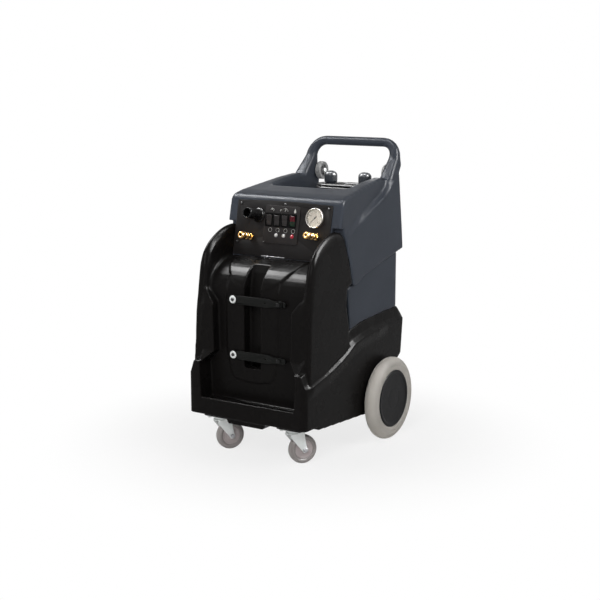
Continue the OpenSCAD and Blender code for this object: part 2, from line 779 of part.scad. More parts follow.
module switch_bodies() color([0.07, 0.07, 0.07])
    on_panel()
        for (i = [0:3])
            translate([rocker_x(i), rocker_y, 0])
                difference() {
                    union() {
                        translate([0, 0, plate_t])
                            linear_extrude(2)
                                round_rect([-rocker_pitch / 2 + 0.8, -rocker_l / 2 - 5],
                                    [rocker_pitch / 2 - 0.8, rocker_l / 2 + 5], 3);
                        translate([-switch_hole_w / 2 + 0.2, -switch_hole_l / 2 + 0.2, plate_t - switch_depth])
                            cube([switch_hole_w - 0.4, switch_hole_l - 0.4, switch_depth + 1]);
                    }
                    translate([-rocker_w / 2 - 0.4, -rocker_l / 2 - 0.5, plate_t - 13])
                        cube([rocker_w + 0.8, rocker_l + 1, 40]);
                    translate([0, 0, plate_t - pivot_drop])
                        rod_x(rocker_pin_r + running_gap, -rocker_w / 2 - 1.6, rocker_w / 2 + 1.6);
                }

// A rocker lies tipped by half its throw, with its lower end pressed in
module rocker(i) {
    on_panel()
        translate([rocker_x(i), rocker_y, plate_t - pivot_drop])
            rotate([rocker_throw / 2, 0, 0]) {
                rotate([90, 0, 90])
                    linear_extrude(rocker_w, center = true)
                        polygon([[-rocker_l / 2 + 2, 1], [-rocker_l / 2 + 1.6, 5.6], [-rocker_l / 4, 6.2], [0, 4.6],
                            [rocker_l / 4, 6.2], [rocker_l / 2 - 1.6, 5.6], [rocker_l / 2 - 2, 1], [4, -3.4],
                            [-4, -3.4]]);
                rod_x(rocker_pin_r, -rocker_w / 2 - 1.4, rocker_w / 2 + 1.4);
            }
}

module rocker_1() color([0.09, 0.09, 0.09]) rocker(0);
module rocker_2() color([0.09, 0.09, 0.09]) rocker(1);
module rocker_3() color([0.09, 0.09, 0.09]) rocker(2);
module rocker_4() color([0.55, 0.05, 0.07]) rocker(3);

module lens(x) {
    on_panel()
        translate([x, lens_y, 0]) {
            translate([0, 0, plate_t])
                rotate_extrude()
                    polygon(concat([[0, 0]], arc_points([0, 0.8], lens_r, 3.4, 0, 90, 8)));
            translate([0, 0, -panel_t - 6]) cylinder(r = lens_r - 1, h = 6 + panel_t + plate_t + 0.2);
        }
}

module indicator_lenses() color([0.92, 0.92, 0.9]) {
    lens(lens_x[0]);
    lens(lens_x[1]);
}

module warning_lens() color([0.8, 0.1, 0.14]) lens(lens_x[2]);

// ---- Pressure gauge ------------------------------------------------------

dial_lift = 1.5;
glass_t = 1.6;
bezel_wall = 3;
spindle_r = 1.2;
needle_at = dial_lift + 1.6;

module gauge_case() color([0.78, 0.79, 0.8])
    on_panel()
        translate([gauge_at[0], gauge_at[1], 0]) {
            difference() {
                rotate_extrude()
                    polygon([[0, -gauge_case_l], [gauge_case_r - 2, -gauge_case_l], [gauge_case_r, -gauge_case_l + 2],
                        [gauge_case_r, 0], [gauge_r, 0], [gauge_r, bezel_h - 4], [gauge_r - 1.5, bezel_h - 1],
                        [gauge_r - 3.2, bezel_h], [gauge_r - bezel_wall - 2, bezel_h - 0.6],
                        [gauge_r - bezel_wall - 2.4, 0], [0, 0]]);
                translate([0, 0, -8]) cylinder(r = spindle_r + running_gap, h = 20);
            }
            translate([0, 0, -gauge_case_l - 12]) cylinder(r = 6.5, h = 12.5);
        }

module gauge_dial() color([0.93, 0.92, 0.88])
    on_panel()
        translate([gauge_at[0], gauge_at[1], 0])
            difference() {
                cylinder(r = gauge_r - bezel_wall - 2.6, h = dial_lift);
                translate([0, 0, -1]) cylinder(r = spindle_r + 0.3, h = 10);
            }

// The needle rests at zero, down to the left, and sweeps clockwise
needle_rest = 225;
module gauge_needle() color([0.05, 0.05, 0.05])
    on_panel()
        translate([gauge_at[0], gauge_at[1], 0]) {
            translate([0, 0, needle_at])
                rotate([0, 0, needle_rest])
                    linear_extrude(0.8)
                        polygon([[-8, -1.8], [-8, 1.8], [0, 1], [gauge_r - 14, 0.35], [gauge_r - 12, 0],
                            [gauge_r - 14, -0.35], [0, -1]]);
            translate([0, 0, needle_at]) cylinder(r = 2.6, h = 1.4);
            translate([0, 0, -7]) cylinder(r = spindle_r, h = 7.2 + needle_at);
        }

module gauge_glass() color([0.85, 0.9, 0.9, 0.35])
    on_panel()
        translate([gauge_at[0], gauge_at[1], bezel_h - 1.2 - glass_t])
            cylinder(r = gauge_r - bezel_wall - 2.5, h = glass_t);

// ---- Ports ---------------------------------------------------------------

module vacuum_port() color([0.05, 0.05, 0.05])
    on_panel()
        translate([port_at[0], port_at[1], 0])
            difference() {
                rotate_extrude()
                    polygon([[0, -panel_t - 30], [port_r, -panel_t - 30], [port_r, 0], [port_flange_r, 0],
                        [port_flange_r, 3], [port_flange_r - 2, 5], [port_r + 2, 6], [port_r, 8],
                        [port_r, port_l - 1.5], [port_r - 1.5, port_l], [0, port_l]]);
                translate([0, 0, -panel_t - 24]) cylinder(r = port_bore_r, h = port_l + 60);
            }

coupler_core_r = 9.5;
sleeve_l = 24;
sleeve_from = coupler_l - sleeve_l - 4;

module coupler(at, bore_r) {
    on_panel()
        translate([at[0], at[1], 0])
            difference() {
                union() {
                    cylinder(r = 12.5, h = 11, $fn = 6);
                    translate([0, 0, -panel_t - 16]) cylinder(r = thread_r, h = panel_t + 17);
                    rotate_extrude()
                        polygon([[0, 10], [8, 10], [8, 20], [11.5, 22], [11.5, sleeve_from - sleeve_travel - 1],
                            [coupler_core_r, sleeve_from - sleeve_travel - 1], [coupler_core_r, coupler_l - 0.5],
                            [coupler_core_r - 0.5, coupler_l], [0, coupler_l]]);
                    // stop ring in front of the sleeve
                    translate([0, 0, coupler_l - 3.6])
                        cylinder(r = 10.6, h = 2);
                }
                translate([0, 0, 24]) cylinder(r = bore_r, h = coupler_l);
            }
}

module coupler_sleeve(at) {
    on_panel()
        translate([at[0], at[1], sleeve_from])
            difference() {
                rotate_extrude()
                    polygon([[0, 0], [sleeve_r - 1, 0], [sleeve_r, 1], [sleeve_r, 4], [sleeve_r - 0.8, 5],
                        [sleeve_r - 0.8, sleeve_l - 9], [sleeve_r, sleeve_l - 8], [sleeve_r, sleeve_l - 2],
                        [sleeve_r - 1, sleeve_l], [0, sleeve_l]]);
                translate([0, 0, -1]) cylinder(r = coupler_core_r + running_gap, h = sleeve_l + 2);
                translate([0, 0, sleeve_l - 1]) cylinder(r = 11, h = 10);
            }
}

module coupler_left() color([0.8, 0.62, 0.3]) coupler(coupler_left_at, coupler_left_bore_r);
module coupler_left_sleeve() color([0.85, 0.68, 0.36]) coupler_sleeve(coupler_left_at);
module coupler_right() color([0.8, 0.62, 0.3]) coupler(coupler_right_at, coupler_right_bore_r);
module coupler_right_sleeve() color([0.85, 0.68, 0.36]) coupler_sleeve(coupler_right_at);

// ---- Straps --------------------------------------------------------------

strap_boss_r = 11;

// Outline of a strap from its screw eye at the origin to its hooked end
module strap_outline() {
    tail_x = strap_reach + 28;
    difference() {
        union() {
            circle(15);
            polygon([[0, -10], [0, 10], [26, strap_h / 2], [strap_reach - 46, strap_h / 2],
                [strap_reach - 22, 10], [tail_x - 10, 9], [tail_x - 10, -9], [strap_reach - 22, -10],
                [strap_reach - 46, -strap_h / 2], [26, -strap_h / 2]]);
            translate([tail_x - 10, 0]) circle(9);
        }
        circle(strap_screw_r + 0.2);
        translate([strap_reach, 0]) circle(strap_screw_r + 0.2);
        translate([strap_reach - 56, 0]) circle(3);
    }
}

module strap(z) {
    translate([strap_left_x, Y(recess_d - strap_gap), z])
        rotate([90, 0, 0])
            linear_extrude(strap_t)
                strap_outline();
}

module strap_upper() color([0.06, 0.06, 0.06]) strap(strap_levels[1]);
module strap_lower() color([0.06, 0.06, 0.06]) strap(strap_levels[0]);

// A strap's fixing: a shank in the base and a spacer that stands on the face, raised by its lift
module strap_stud(lift) {
    translate([0, 0, -screw_hole_l + 2]) cylinder(r = strap_screw_r, h = screw_hole_l + strap_gap + strap_t + 2);
    translate([0, 0, lift]) cylinder(r = strap_boss_r, h = strap_gap - seat_gap - lift);
}

// Left screws with their bright washers, which stand on the raised door field
module strap_screws() color([0.85, 0.85, 0.86])
    for (i = [0:1])
        translate([strap_left_x, Y(recess_d), strap_levels[i]])
            rotate([90, 0, 0]) {
                strap_stud(door_lift);
                translate([0, 0, strap_gap + strap_t + seat_gap])
                    rotate_extrude()
                        polygon([[0, 0], [13.5, 0], [13.5, 1.6], [7.6, 1.8], [6.6, 4.2], [3, 5.2], [0, 5.2]]);
            }

// Right hooks that the straps' ends are pulled over
module strap_hooks() color([0.07, 0.07, 0.07])
    for (z = strap_levels)
        translate([strap_left_x + strap_reach, Y(recess_d), z])
            rotate([90, 0, 0]) {
                strap_stud(0);
                translate([-9, -6.5, strap_gap + strap_t + seat_gap]) cube([15.5, 13, 4]);
            }

// ---- Casters -------------------------------------------------------------

caster_plate_t = 3;
race_h = 9;
race_r = 26;
fork_t = 3;
fork_in = caster_w / 2 + 3.5;
fork_top_z = caster_h - caster_plate_t - race_h - seat_gap;
plate_half = [46, 31];
bolt_half = [37, 22];

module caster_plates() color([0.8, 0.82, 0.81])
    both_sides()
        translate([caster_x, Y(caster_d), 0]) {
            difference() {
                translate([0, 0, caster_h - caster_plate_t])
                    linear_extrude(caster_plate_t)
                        round_rect(-plate_half, plate_half, 6);
                for (sx = [-1, 1], sy = [-1, 1])
                    translate([sx * bolt_half[0], sy * bolt_half[1], 0]) cylinder(r = 4.2, h = 200);
            }
            translate([0, 0, fork_top_z + seat_gap])
                rotate_extrude()
                    polygon([[0, 0], [race_r - 5, 0], [race_r, 3], [race_r, 6], [race_r - 3, race_h], [0, race_h]]);
            translate([0, 0, fork_top_z - fork_t - 1]) cylinder(r = kingpin_r, h = 10);
            translate([0, 0, fork_top_z - fork_t - 5]) cylinder(r = kingpin_r + 5, h = 5 - seat_gap);
            for (sx = [-1, 1], sy = [-1, 1])
                translate([sx * bolt_half[0], sy * bolt_half[1], caster_h - caster_plate_t - 4.5])
                    cylinder(r = 6.5, h = 4.5, $fn = 6);
        }

// Places a caster's own frame on its swivel axis, with the wheel trailing along +Y
module on_caster(side) {
    translate([side * caster_x, Y(caster_d), 0])
        rotate([0, 0, caster_turn])
            children();
}

module fork() {
    difference() {
        union() {
            translate([0, 0, fork_top_z - fork_t]) cylinder(r = race_r + 3, h = fork_t);
            translate([-fork_in - fork_t, 0, fork_top_z - fork_t])
                cube([2 * (fork_in + fork_t), 30, fork_t]);
            for (side = [-1, 1])
                translate([side * (fork_in + fork_t / 2), 0, 0])
                    rotate([90, 0, 90])
                        linear_extrude(fork_t, center = true) {
                            polygon([[-20, fork_top_z], [-24, fork_top_z - 10], [caster_trail - 8.5, caster_r - 5],
                                [caster_trail + 8.5, caster_r - 5], [30, fork_top_z - 12], [30, fork_top_z]]);
                            translate([caster_trail, caster_r]) circle(10);
                        }
        }
        translate([0, 0, fork_top_z - 20]) cylinder(r = kingpin_r + running_gap, h = 40);
        translate([0, caster_trail, caster_r])
            rod_x(caster_bolt_r + running_gap, -60, 60);
    }
}

module caster_wheel() {
    translate([0, caster_trail, caster_r])
        rotate([0, 90, 0])
            rotate_extrude()
                polygon(concat([[caster_bolt_r + running_gap, -fork_in + 0.5], [11, -fork_in + 0.5], [13, -caster_w / 2 + 3],
                    [32, -caster_w / 2 + 4], [36, -caster_w / 2 + 1], [caster_r - 6, -caster_w / 2]],
                    arc_points([caster_r - 9, 0], 9, caster_w / 2 - 1.5, -80, 80, 8),
                    [[caster_r - 6, caster_w / 2], [36, caster_w / 2 - 1], [32, caster_w / 2 - 4],
                    [13, caster_w / 2 - 3], [11, fork_in - 0.5], [caster_bolt_r + running_gap, fork_in - 0.5]]));
}

module caster_bolts() {
    end = fork_in + fork_t;
    translate([0, caster_trail, caster_r]) {
        rod_x(caster_bolt_r, -end - 6, end + 3);
        rod_x(8, end, end + 5, $fn = 6);
        translate([-end - 6, 0, 0]) rotate([0, 90, 0]) cylinder(r = 8, h = 6, $fn = 6);
    }
}

module caster_fork_left() color([0.8, 0.82, 0.81]) on_caster(-1) fork();
module caster_fork_right() color([0.8, 0.82, 0.81]) on_caster(1) fork();
module caster_wheel_left() color([0.58, 0.54, 0.54]) on_caster(-1) caster_wheel();
module caster_wheel_right() color([0.58, 0.54, 0.54]) on_caster(1) caster_wheel();
module caster_bolts_left() color([0.72, 0.74, 0.74]) on_caster(-1) caster_bolts();
module caster_bolts_right() color([0.72, 0.74, 0.74]) on_caster(1) caster_bolts();

// ---- Rear wheels ---------------------------------------------------------

wheel_in = skirt_half_w + wheel_gap;
axle_z = wheel_r;
bracket_x = 200;
bracket_t = 6;
slope_angle = atan((rear_low_z - slope_foot_z) / (base_l - rear_lean - slope_foot_d));
function slope_z(d) = slope_foot_z + (d - slope_foot_d) * tan(slope_angle);
rim_clear = 0.2;

module axle_brackets() color([0.1, 0.1, 0.1])
    both_sides() {
        difference() {
            translate([bracket_x, 0, 0])
                rotate([90, 0, 90])
                    linear_extrude(bracket_t, center = true) {
                        polygon([[Y(axle_d - 45), slope_z(axle_d - 45)], [Y(axle_d + 45), slope_z(axle_d + 45)],
                            [Y(axle_d) + 19, axle_z], [Y(axle_d), axle_z - 19], [Y(axle_d) - 19, axle_z]]);
                        translate([Y(axle_d), axle_z]) circle(19);
                    }
            translate([0, Y(axle_d), axle_z]) rod_x(axle_r + running_gap, bracket_x - 20, bracket_x + 20);
        }
        translate([bracket_x - 22, Y(axle_d), slope_z(axle_d)])
            rotate([slope_angle, 0, 0])
                translate([0, -52, -4]) cube([44, 104, 4]);
    }

module rear_axle() color([0.6, 0.61, 0.62])
    translate([0, Y(axle_d), axle_z]) {
        rod_x(axle_r, -wheel_in - tyre_w + 9, wheel_in + tyre_w - 9);
        // collars that keep the axle centred in its brackets
        both_sides() rod_x(axle_r + 4, bracket_x - 14, bracket_x - bracket_t / 2 - seat_gap);
    }

module rear_rim() {
    translate([wheel_in, Y(axle_d), axle_z])
        rotate([0, 90, 0])
            rotate_extrude()
                polygon([[axle_r + running_gap, 0], [26, 0], [30, 14], [rim_r - 14, 18], [rim_r - 10, 8], [rim_r, 8],
                    [rim_r, tyre_w - 8], [rim_r - 6, tyre_w - 8], [rim_r - 6, tyre_w - 16], [30, 30],
                    [22, tyre_w - 15], [axle_r + running_gap, tyre_w - 15]]);
}

module rear_tyre() {
    translate([wheel_in, Y(axle_d), axle_z])
        rotate([0, 90, 0])
            rotate_extrude($fn = 96)
                polygon(concat([[rim_r + rim_clear, 5]], [[rim_r + 3, 3], [wheel_r - 26, 1]],
                    arc_points([wheel_r - 21, tyre_w / 2], 21, tyre_w / 2, -72, 72, 10),
                    [[wheel_r - 26, tyre_w - 1], [rim_r + 3, tyre_w - 3], [rim_r + rim_clear, tyre_w - 5]]));
}

module hub_cap() {
    translate([wheel_in + tyre_w, Y(axle_d), axle_z])
        rotate([0, 90, 0])
            rotate_extrude($fn = 96)
                polygon([[0, -8], [rim_r - 24, -10], [rim_r - 9, -13.6], [rim_r - 6.4, -14], [rim_r - 6.4, -7.6],
                    [rim_r - 0.5, -7.6], [rim_r - 0.5, -4], [rim_r - 4, -2], [rim_r - 14, -3.4], [rim_r - 30, -5.4],
                    [0, -6]]);
}

module rear_rim_left() color([0.12, 0.12, 0.12]) mirror([1, 0, 0]) rear_rim();
module rear_rim_right() color([0.12, 0.12, 0.12]) rear_rim();
module rear_tyre_left() color([0.62, 0.6, 0.57]) mirror([1, 0, 0]) rear_tyre();
module rear_tyre_right() color([0.62, 0.6, 0.57]) rear_tyre();
module hub_cap_left() color([0.15, 0.15, 0.155]) mirror([1, 0, 0]) hub_cap();
module hub_cap_right() color([0.15, 0.15, 0.155]) hub_cap();

// ---- Loading wheels ------------------------------------------------------

load_d = handle_d - 6;
load_head_r = 9;
// Where the bolts' heads seat on the handle's legs
load_seat_x = handle_foot_half_w - 9;
load_out = valley_half_w - 3;
load_hub_r = 24;

module load_hub() {
    translate([load_out, Y(load_d), load_z])
        rotate([0, -90, 0]) {
            difference() {
                union() {
                    cylinder(r = 9, h = load_w);
                    translate([0, 0, 2]) difference() {
                        cylinder(r = load_hub_r, h = load_w - 4);
                        translate([0, 0, -1]) cylinder(r = load_hub_r - 4, h = load_w);
                    }
                    for (a = [0:72:288])
                        rotate([0, 0, a]) translate([5, -2.2, 5]) cube([load_hub_r - 7, 4.4, load_w - 10]);
                }
                translate([0, 0, -5]) cylinder(r = load_bolt_r + running_gap, h = 60);
            }
        }
}

groove_count = 24;
module load_tyre() {
    translate([load_out, Y(load_d), load_z])
        rotate([0, -90, 0])
            difference() {
                rotate_extrude()
                    polygon([[load_hub_r + rim_clear, 1], [load_r - 3, 0], [load_r, 3], [load_r, load_w - 3],
                        [load_r - 3, load_w], [load_hub_r + rim_clear, load_w - 1]]);
                for (i = [0:groove_count - 1])
                    rotate([0, 0, i * 360 / groove_count])
                        translate([load_r - 1.6, -1.2, -1]) cube([5, 2.4, load_w + 2]);
            }
}

module load_bolts() color([0.75, 0.76, 0.78])
    both_sides()
        translate([0, Y(load_d), load_z]) {
            rod_x(load_bolt_r, load_out - load_w - 3, load_seat_x + 3);
            rod_x(load_head_r, load_seat_x, load_seat_x + 6);
            rod_x(8.5, load_out + 0.3, valley_half_w);
            rod_x(8.5, load_out - load_w - 6, load_out - load_w - 0.3);
        }

module load_hub_left() color([0.12, 0.12, 0.13]) mirror([1, 0, 0]) load_hub();
module load_hub_right() color([0.12, 0.12, 0.13]) load_hub();
module load_tyre_left() color([0.72, 0.72, 0.7]) mirror([1, 0, 0]) load_tyre();
module load_tyre_right() color([0.72, 0.72, 0.7]) load_tyre();

// ---- Cord ----------------------------------------------------------------

hook_y = Y(handle_d) - 54;

module cord_hooks() color([0.36, 0.38, 0.42])
    both_sides()
        translate([hook_x, hook_y, shelf_z])
            rotate_extrude()
                polygon(concat([[0, 0], [hook_r, 0], [hook_r, 46], [hook_tip_r, 56]],
                    arc_points([0, hook_h - 22], hook_tip_r, 22, 0, 90, 8)));

cord_r = cord_dia / 2;
layers = 4;
layer_turns = 3;
loop_rings = 24;
loop_pitch = cord_dia + 0.45;
layer_pitch = cord_dia + 0.6;
inner_loop_r = hook_r + 0.5 + cord_r;
outer_loop_r = inner_loop_r + layer_turns * loop_pitch;
winding_z = shelf_z + seat_gap + cord_r;
turns = layers * layer_turns;
end_run = cord_dia;

// Place on a loop of radius r, at ring u of loop_rings from the middle of the rear run
function loop_place(u, r) =
    u <= 2 ? [-hook_x * u / 2, r] :
    u <= 10 ? let (a = 90 + 22.5 * (u - 2)) [-hook_x + r * cos(a), r * sin(a)] :
    u <= 14 ? [-hook_x + hook_x * (u - 10) / 2, -r] :
    u <= 22 ? let (a = 270 + 22.5 * (u - 14)) [hook_x + r * cos(a), r * sin(a)] :
    [hook_x - hook_x * (u - 22) / 2, r];

// Turns back from the outer loop, counted in and out again
function inward(t) = abs((t / layer_turns) % 2 - 1) * layer_turns;
// Layer at turn t, climbing along the rear run where the spiral reverses
function layer_at(t) = let (k = round(t / layer_turns), off = (t - k * layer_turns) * loop_rings)
    k <= 0 || k >= layers ? (k <= 0 ? 0 : layers - 1) :
    abs(off) >= 2 ? (off < 0 ? k - 1 : k) : k - 0.5 + off / 4;

function winding_point(i) = let (t = i / loop_rings, place = loop_place(i % loop_rings,
    inner_loop_r + loop_pitch * inward(t)))
    [place[0], hook_y + place[1], winding_z + layer_pitch * layer_at(t)];

winding_points = concat([[end_run, hook_y + outer_loop_r, winding_z]],
    [for (i = [0:turns * loop_rings]) winding_point(i)],
    [[-end_run, hook_y + outer_loop_r, winding_z + (layers - 1) * layer_pitch]]);

function unit(v) = v / norm(v);
function tangent(p, i) = unit(p[min(i + 1, len(p) - 1)] - p[max(i - 1, 0)]);
function side_of(t) = abs(t[2]) > 0.95 ? unit(cross(t, [1, 0, 0])) : unit(cross(t, [0, 0, 1]));

// Rings across a path. The side vector follows on from the ring before it.
function carried(t, last) = unit(last - t * (last * t));
function sides_along(p, i = 0, last = [0, 0, 0], out = []) = i == len(p) ? out :
    let (t = tangent(p, i), s = i == 0 ? side_of(t) : carried(t, last))
    sides_along(p, i + 1, s, concat(out, [s]));

module tube(p, r, n) {
    across = sides_along(p);
    rings = [for (i = [0:len(p) - 1])
        let (t = tangent(p, i), s = across[i], up = cross(t, s))
        [for (j = [0:n - 1]) p[i] + r * (cos(360 * j / n) * s + sin(360 * j / n) * up)]];
    loft(rings);
}

// Smooth path through the points of a route
function spline(p, i, t) = let (a = p[max(i - 1, 0)], b = p[i], c = p[i + 1], d = p[min(i + 2, len(p) - 1)])
    0.5 * (2 * b + (c - a) * t + (2 * a - 5 * b + 4 * c - d) * t * t + (3 * b - a - 3 * c + d) * t * t * t);
function smooth(p, steps) = concat([for (i = [0:len(p) - 2], k = [0:steps - 1]) spline(p, i, k / steps)],
    [p[len(p) - 1]]);

relief_l = 40;
lead_start_y = Y(gland_d) + relief_l;
winding_rear_y = hook_y + outer_loop_r;
tail_top_z = winding_z + (layers - 1) * layer_pitch;
// The lead rises from the gland to the winding, and the tail hangs from it to the plug
lead_route = [[gland_x, lead_start_y + 11, gland_z], [gland_x, lead_start_y + 32, gland_z + 7],
    [gland_x, lead_start_y + 48, gland_z + 26], [gland_x, lead_start_y + 53, gland_z + 54], [58, 398, 500],
    [58, 394, 570], [58, 386, 650], [58, 377, 730], [57, 367, 800], [54, 360, 838], [46, winding_rear_y, 860],
    [34, winding_rear_y, 873], [22, winding_rear_y, winding_z]];
lead_points = concat([[gland_x, lead_start_y, gland_z]], smooth(lead_route, 2),
    [[end_run, winding_rear_y, winding_z]]);
tail_route = [[-22, winding_rear_y, tail_top_z], [-36, winding_rear_y + 4, tail_top_z - 1],
    [-56, winding_rear_y + 11, tail_top_z - 6], [-76, winding_rear_y + 15, tail_top_z - 18],
    [-88, winding_rear_y + 16, tail_top_z - 36], [-93, winding_rear_y + 16, tail_top_z - 60],
    [-93, winding_rear_y + 16, tail_top_z - 100], [-92, winding_rear_y + 16, tail_top_z - 150],
    [-92, winding_rear_y + 16, tail_top_z - 200]];
tail_end = [-92, winding_rear_y + 16, tail_top_z - 212];
tail_points = concat([[-end_run, winding_rear_y, tail_top_z]], smooth(tail_route, 2), [tail_end]);

module cord_winding() color([0.06, 0.06, 0.06]) tube(winding_points, cord_r, 6);
module cord_lead() color([0.06, 0.06, 0.06]) tube(lead_points, cord_r, 8);
module cord_tail() color([0.06, 0.06, 0.06]) tube(tail_points, cord_r, 8);

module plug() color([0.08, 0.08, 0.08])
    translate(tail_end)
        mirror([0, 0, 1]) {
            rotate_extrude()
                polygon([[0, 0], [8, 0], [9, 16], [13, 26], [17, 32], [17, 44], [15.5, 46], [0, 46]]);
            for (x = [-6.4, 6.4]) translate([x - 0.8, -3.2, 45]) cube([1.6, 6.4, 17]);
            translate([0, 8, 45]) cylinder(r = 2.4, h = 19);
        }

module strain_relief() color([0.05, 0.05, 0.05])
    translate([gland_x, Y(gland_d), gland_z])
        rotate([-90, 0, 0])
            rotate_extrude()
                polygon([[0, 0], [gland_r + 6, 0], [gland_r + 6, 6], [gland_r, 8], [cord_r + 4, 12],
                    [cord_r + 1.6, relief_l], [0, relief_l]]);

function path_length(p) = let (steps = [for (i = [0:len(p) - 2]) norm(p[i + 1] - p[i])]) steps * [for (s = steps) 1];
// Least distance between centre lines more than half a turn apart, less the cord's diameter
least_gap = min([for (i = [0:len(winding_points) - 1], j = [i + 12:1:len(winding_points) - 1])
    norm(winding_points[i] - winding_points[j])]) - cord_dia;
echo(winding_least_gap = least_gap);
echo(cord_length = path_length(winding_points) + path_length(lead_points) + path_length(tail_points));

// ---- Fill cap and inner pieces ------------------------------------------

cap_h = 22;
cap_ribs = 12;
neck_r = 41;
neck_gap = 0.6;

// Lid over the tank's neck, with a skirt that reaches into it
module fill_cap() color([0.1, 0.1, 0.1])
    translate([0, Y(cap_d), basin_z]) {
        rotate_extrude()
            polygon([[0, 4], [neck_r - neck_gap - 4, 4], [neck_r - neck_gap - 4, -9], [neck_r - neck_gap, -9],
                [neck_r - neck_gap, 0], [cap_r - 3, 0], [cap_r - 3, cap_h - 4], [cap_r - 7, cap_h], [0, cap_h]]);
        for (i = [0:cap_ribs - 1])
            rotate([0, 0, i * 360 / cap_ribs])
                translate([cap_r - 6, -3, 0]) cube([6, 6, cap_h - 5]);
    }

motor_at = [-70, 250];
module vacuum_motor() color([0.5, 0.5, 0.52])
    translate([motor_at[0], Y(motor_at[1]), cavity_z])
        rotate_extrude()
            polygon([[0, 0], [72, 0], [72, 78], [60, 84], [48, 86], [48, 150], [40, 160], [0, 160]]);

pump_at = [95, 240];
module pump_motor() color([0.15, 0.15, 0.16])
    translate([pump_at[0], Y(pump_at[1]), cavity_z]) {
        translate([0, 0, 60]) rotate([-90, 0, 0]) cylinder(r = 45, h = 110);
        translate([-35, 5, 0]) cube([70, 100, 30]);
    }

module pump_head() color([0.6, 0.5, 0.3])
    translate([pump_at[0], Y(pump_at[1]), cavity_z])
        translate([-32, -46, 24]) cube([64, 46, 72]);

base_tank();
lower_housing();
upper_tank();
control_panel();
panel_screws();
switch_plate();
switch_bodies();
rocker_1();
rocker_2();
rocker_3();
rocker_4();
indicator_lenses();
warning_lens();
gauge_case();
gauge_dial();
gauge_needle();
gauge_glass();
vacuum_port();
coupler_left();
coupler_left_sleeve();
coupler_right();
coupler_right_sleeve();
strap_upper();
strap_lower();
strap_screws();
strap_hooks();
caster_plates();
caster_fork_left();
caster_fork_right();
caster_wheel_left();
caster_wheel_right();
caster_bolts_left();
caster_bolts_right();
axle_brackets();
rear_axle();
rear_rim_left();
rear_rim_right();
rear_tyre_left();
rear_tyre_right();
hub_cap_left();
hub_cap_right();
load_hub_left();
load_hub_right();
load_tyre_left();
load_tyre_right();
load_bolts();
cord_hooks();
cord_winding();
cord_lead();
cord_tail();
plug();
strain_relief();
fill_cap();
vacuum_motor();
pump_motor();
pump_head();
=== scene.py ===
import bpy
import bmesh
import json
import math
from mathutils import Matrix, Vector


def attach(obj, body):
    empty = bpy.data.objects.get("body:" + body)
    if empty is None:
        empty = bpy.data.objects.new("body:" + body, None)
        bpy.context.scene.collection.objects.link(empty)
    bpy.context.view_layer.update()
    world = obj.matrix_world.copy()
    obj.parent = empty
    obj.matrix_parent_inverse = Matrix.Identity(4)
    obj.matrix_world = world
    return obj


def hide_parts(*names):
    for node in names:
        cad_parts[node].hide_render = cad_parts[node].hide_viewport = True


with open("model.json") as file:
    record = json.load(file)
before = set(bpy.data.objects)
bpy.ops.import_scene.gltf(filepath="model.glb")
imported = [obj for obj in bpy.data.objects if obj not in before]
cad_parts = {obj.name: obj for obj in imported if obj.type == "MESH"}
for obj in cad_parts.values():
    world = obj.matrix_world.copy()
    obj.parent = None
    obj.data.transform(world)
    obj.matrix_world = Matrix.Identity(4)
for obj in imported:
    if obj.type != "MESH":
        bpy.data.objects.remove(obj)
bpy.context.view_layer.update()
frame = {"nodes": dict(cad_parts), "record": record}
nodes = frame["nodes"]
scene = bpy.context.scene
print("frame loaded:", len(nodes), "nodes")

cameraSet = {"place": (2.4146, -3.7591, 1.3575), "azimuth": 32.96, "down": 10.71,
             "focal": 1241.56, "frame": 600}
cameraData = bpy.data.cameras.new("camera")
cameraData.sensor_width = 36
cameraData.lens = 36 * cameraSet["focal"] / cameraSet["frame"]
cameraData.clip_end = 100
camera = bpy.data.objects.new("camera", cameraData)
scene.collection.objects.link(camera)
turn, dip = math.radians(cameraSet["azimuth"]), math.radians(cameraSet["down"])
looking = Vector((-math.sin(turn) * math.cos(dip), math.cos(turn) * math.cos(dip), -math.sin(dip)))
camera.location = cameraSet["place"]
camera.rotation_mode = "QUATERNION"
camera.rotation_quaternion = looking.to_track_quat("-Z", "Y")
scene.camera = camera
scene.view_settings.view_transform = "Standard"

lampSet = {
    "key": {"place": (0.9, -3.3, 2.2), "size": 1.2, "watts": 54},
    "leftFill": {"place": (-2.8, -1.8, 1.5), "size": 1.4, "watts": 18},
    "rightHigh": {"place": (2.5, 0.1, 2.5), "size": 1.2, "watts": 22},
    "rearFill": {"place": (-0.8, 3.4, 1.7), "size": 1.6, "watts": 24},
    "shineLeft": {"place": (-1.7, -0.5, 3.0), "size": 1.2, "watts": 330, "shine": True},
    "shineMiddle": {"place": (-0.1, -0.1, 3.4), "size": 1.1, "watts": 170, "shine": True},
    "shineRight": {"place": (2.3, 0.75, 2.3), "size": 1.7, "watts": 870, "shine": True},
}
for lampName, lamp in lampSet.items():
    light = bpy.data.lights.new(lampName, "AREA")
    light.shape = "DISK"
    light.size = lamp["size"]
    light.energy = lamp["watts"]
    holder = bpy.data.objects.new(lampName, light)
    scene.collection.objects.link(holder)
    holder.visible_diffuse = not lamp.get("shine", False)   # a shine lamp gives highlights alone
    holder.location = lamp["place"]
    holder.rotation_mode = "QUATERNION"
    holder.rotation_quaternion = (Vector((0, 0, 0.5)) - Vector(lamp["place"])).to_track_quat("-Z", "Y")


def operator(tree, operation, kind="ShaderNodeMath"):
    node = tree.nodes.new(kind)
    node.operation = operation
    return node


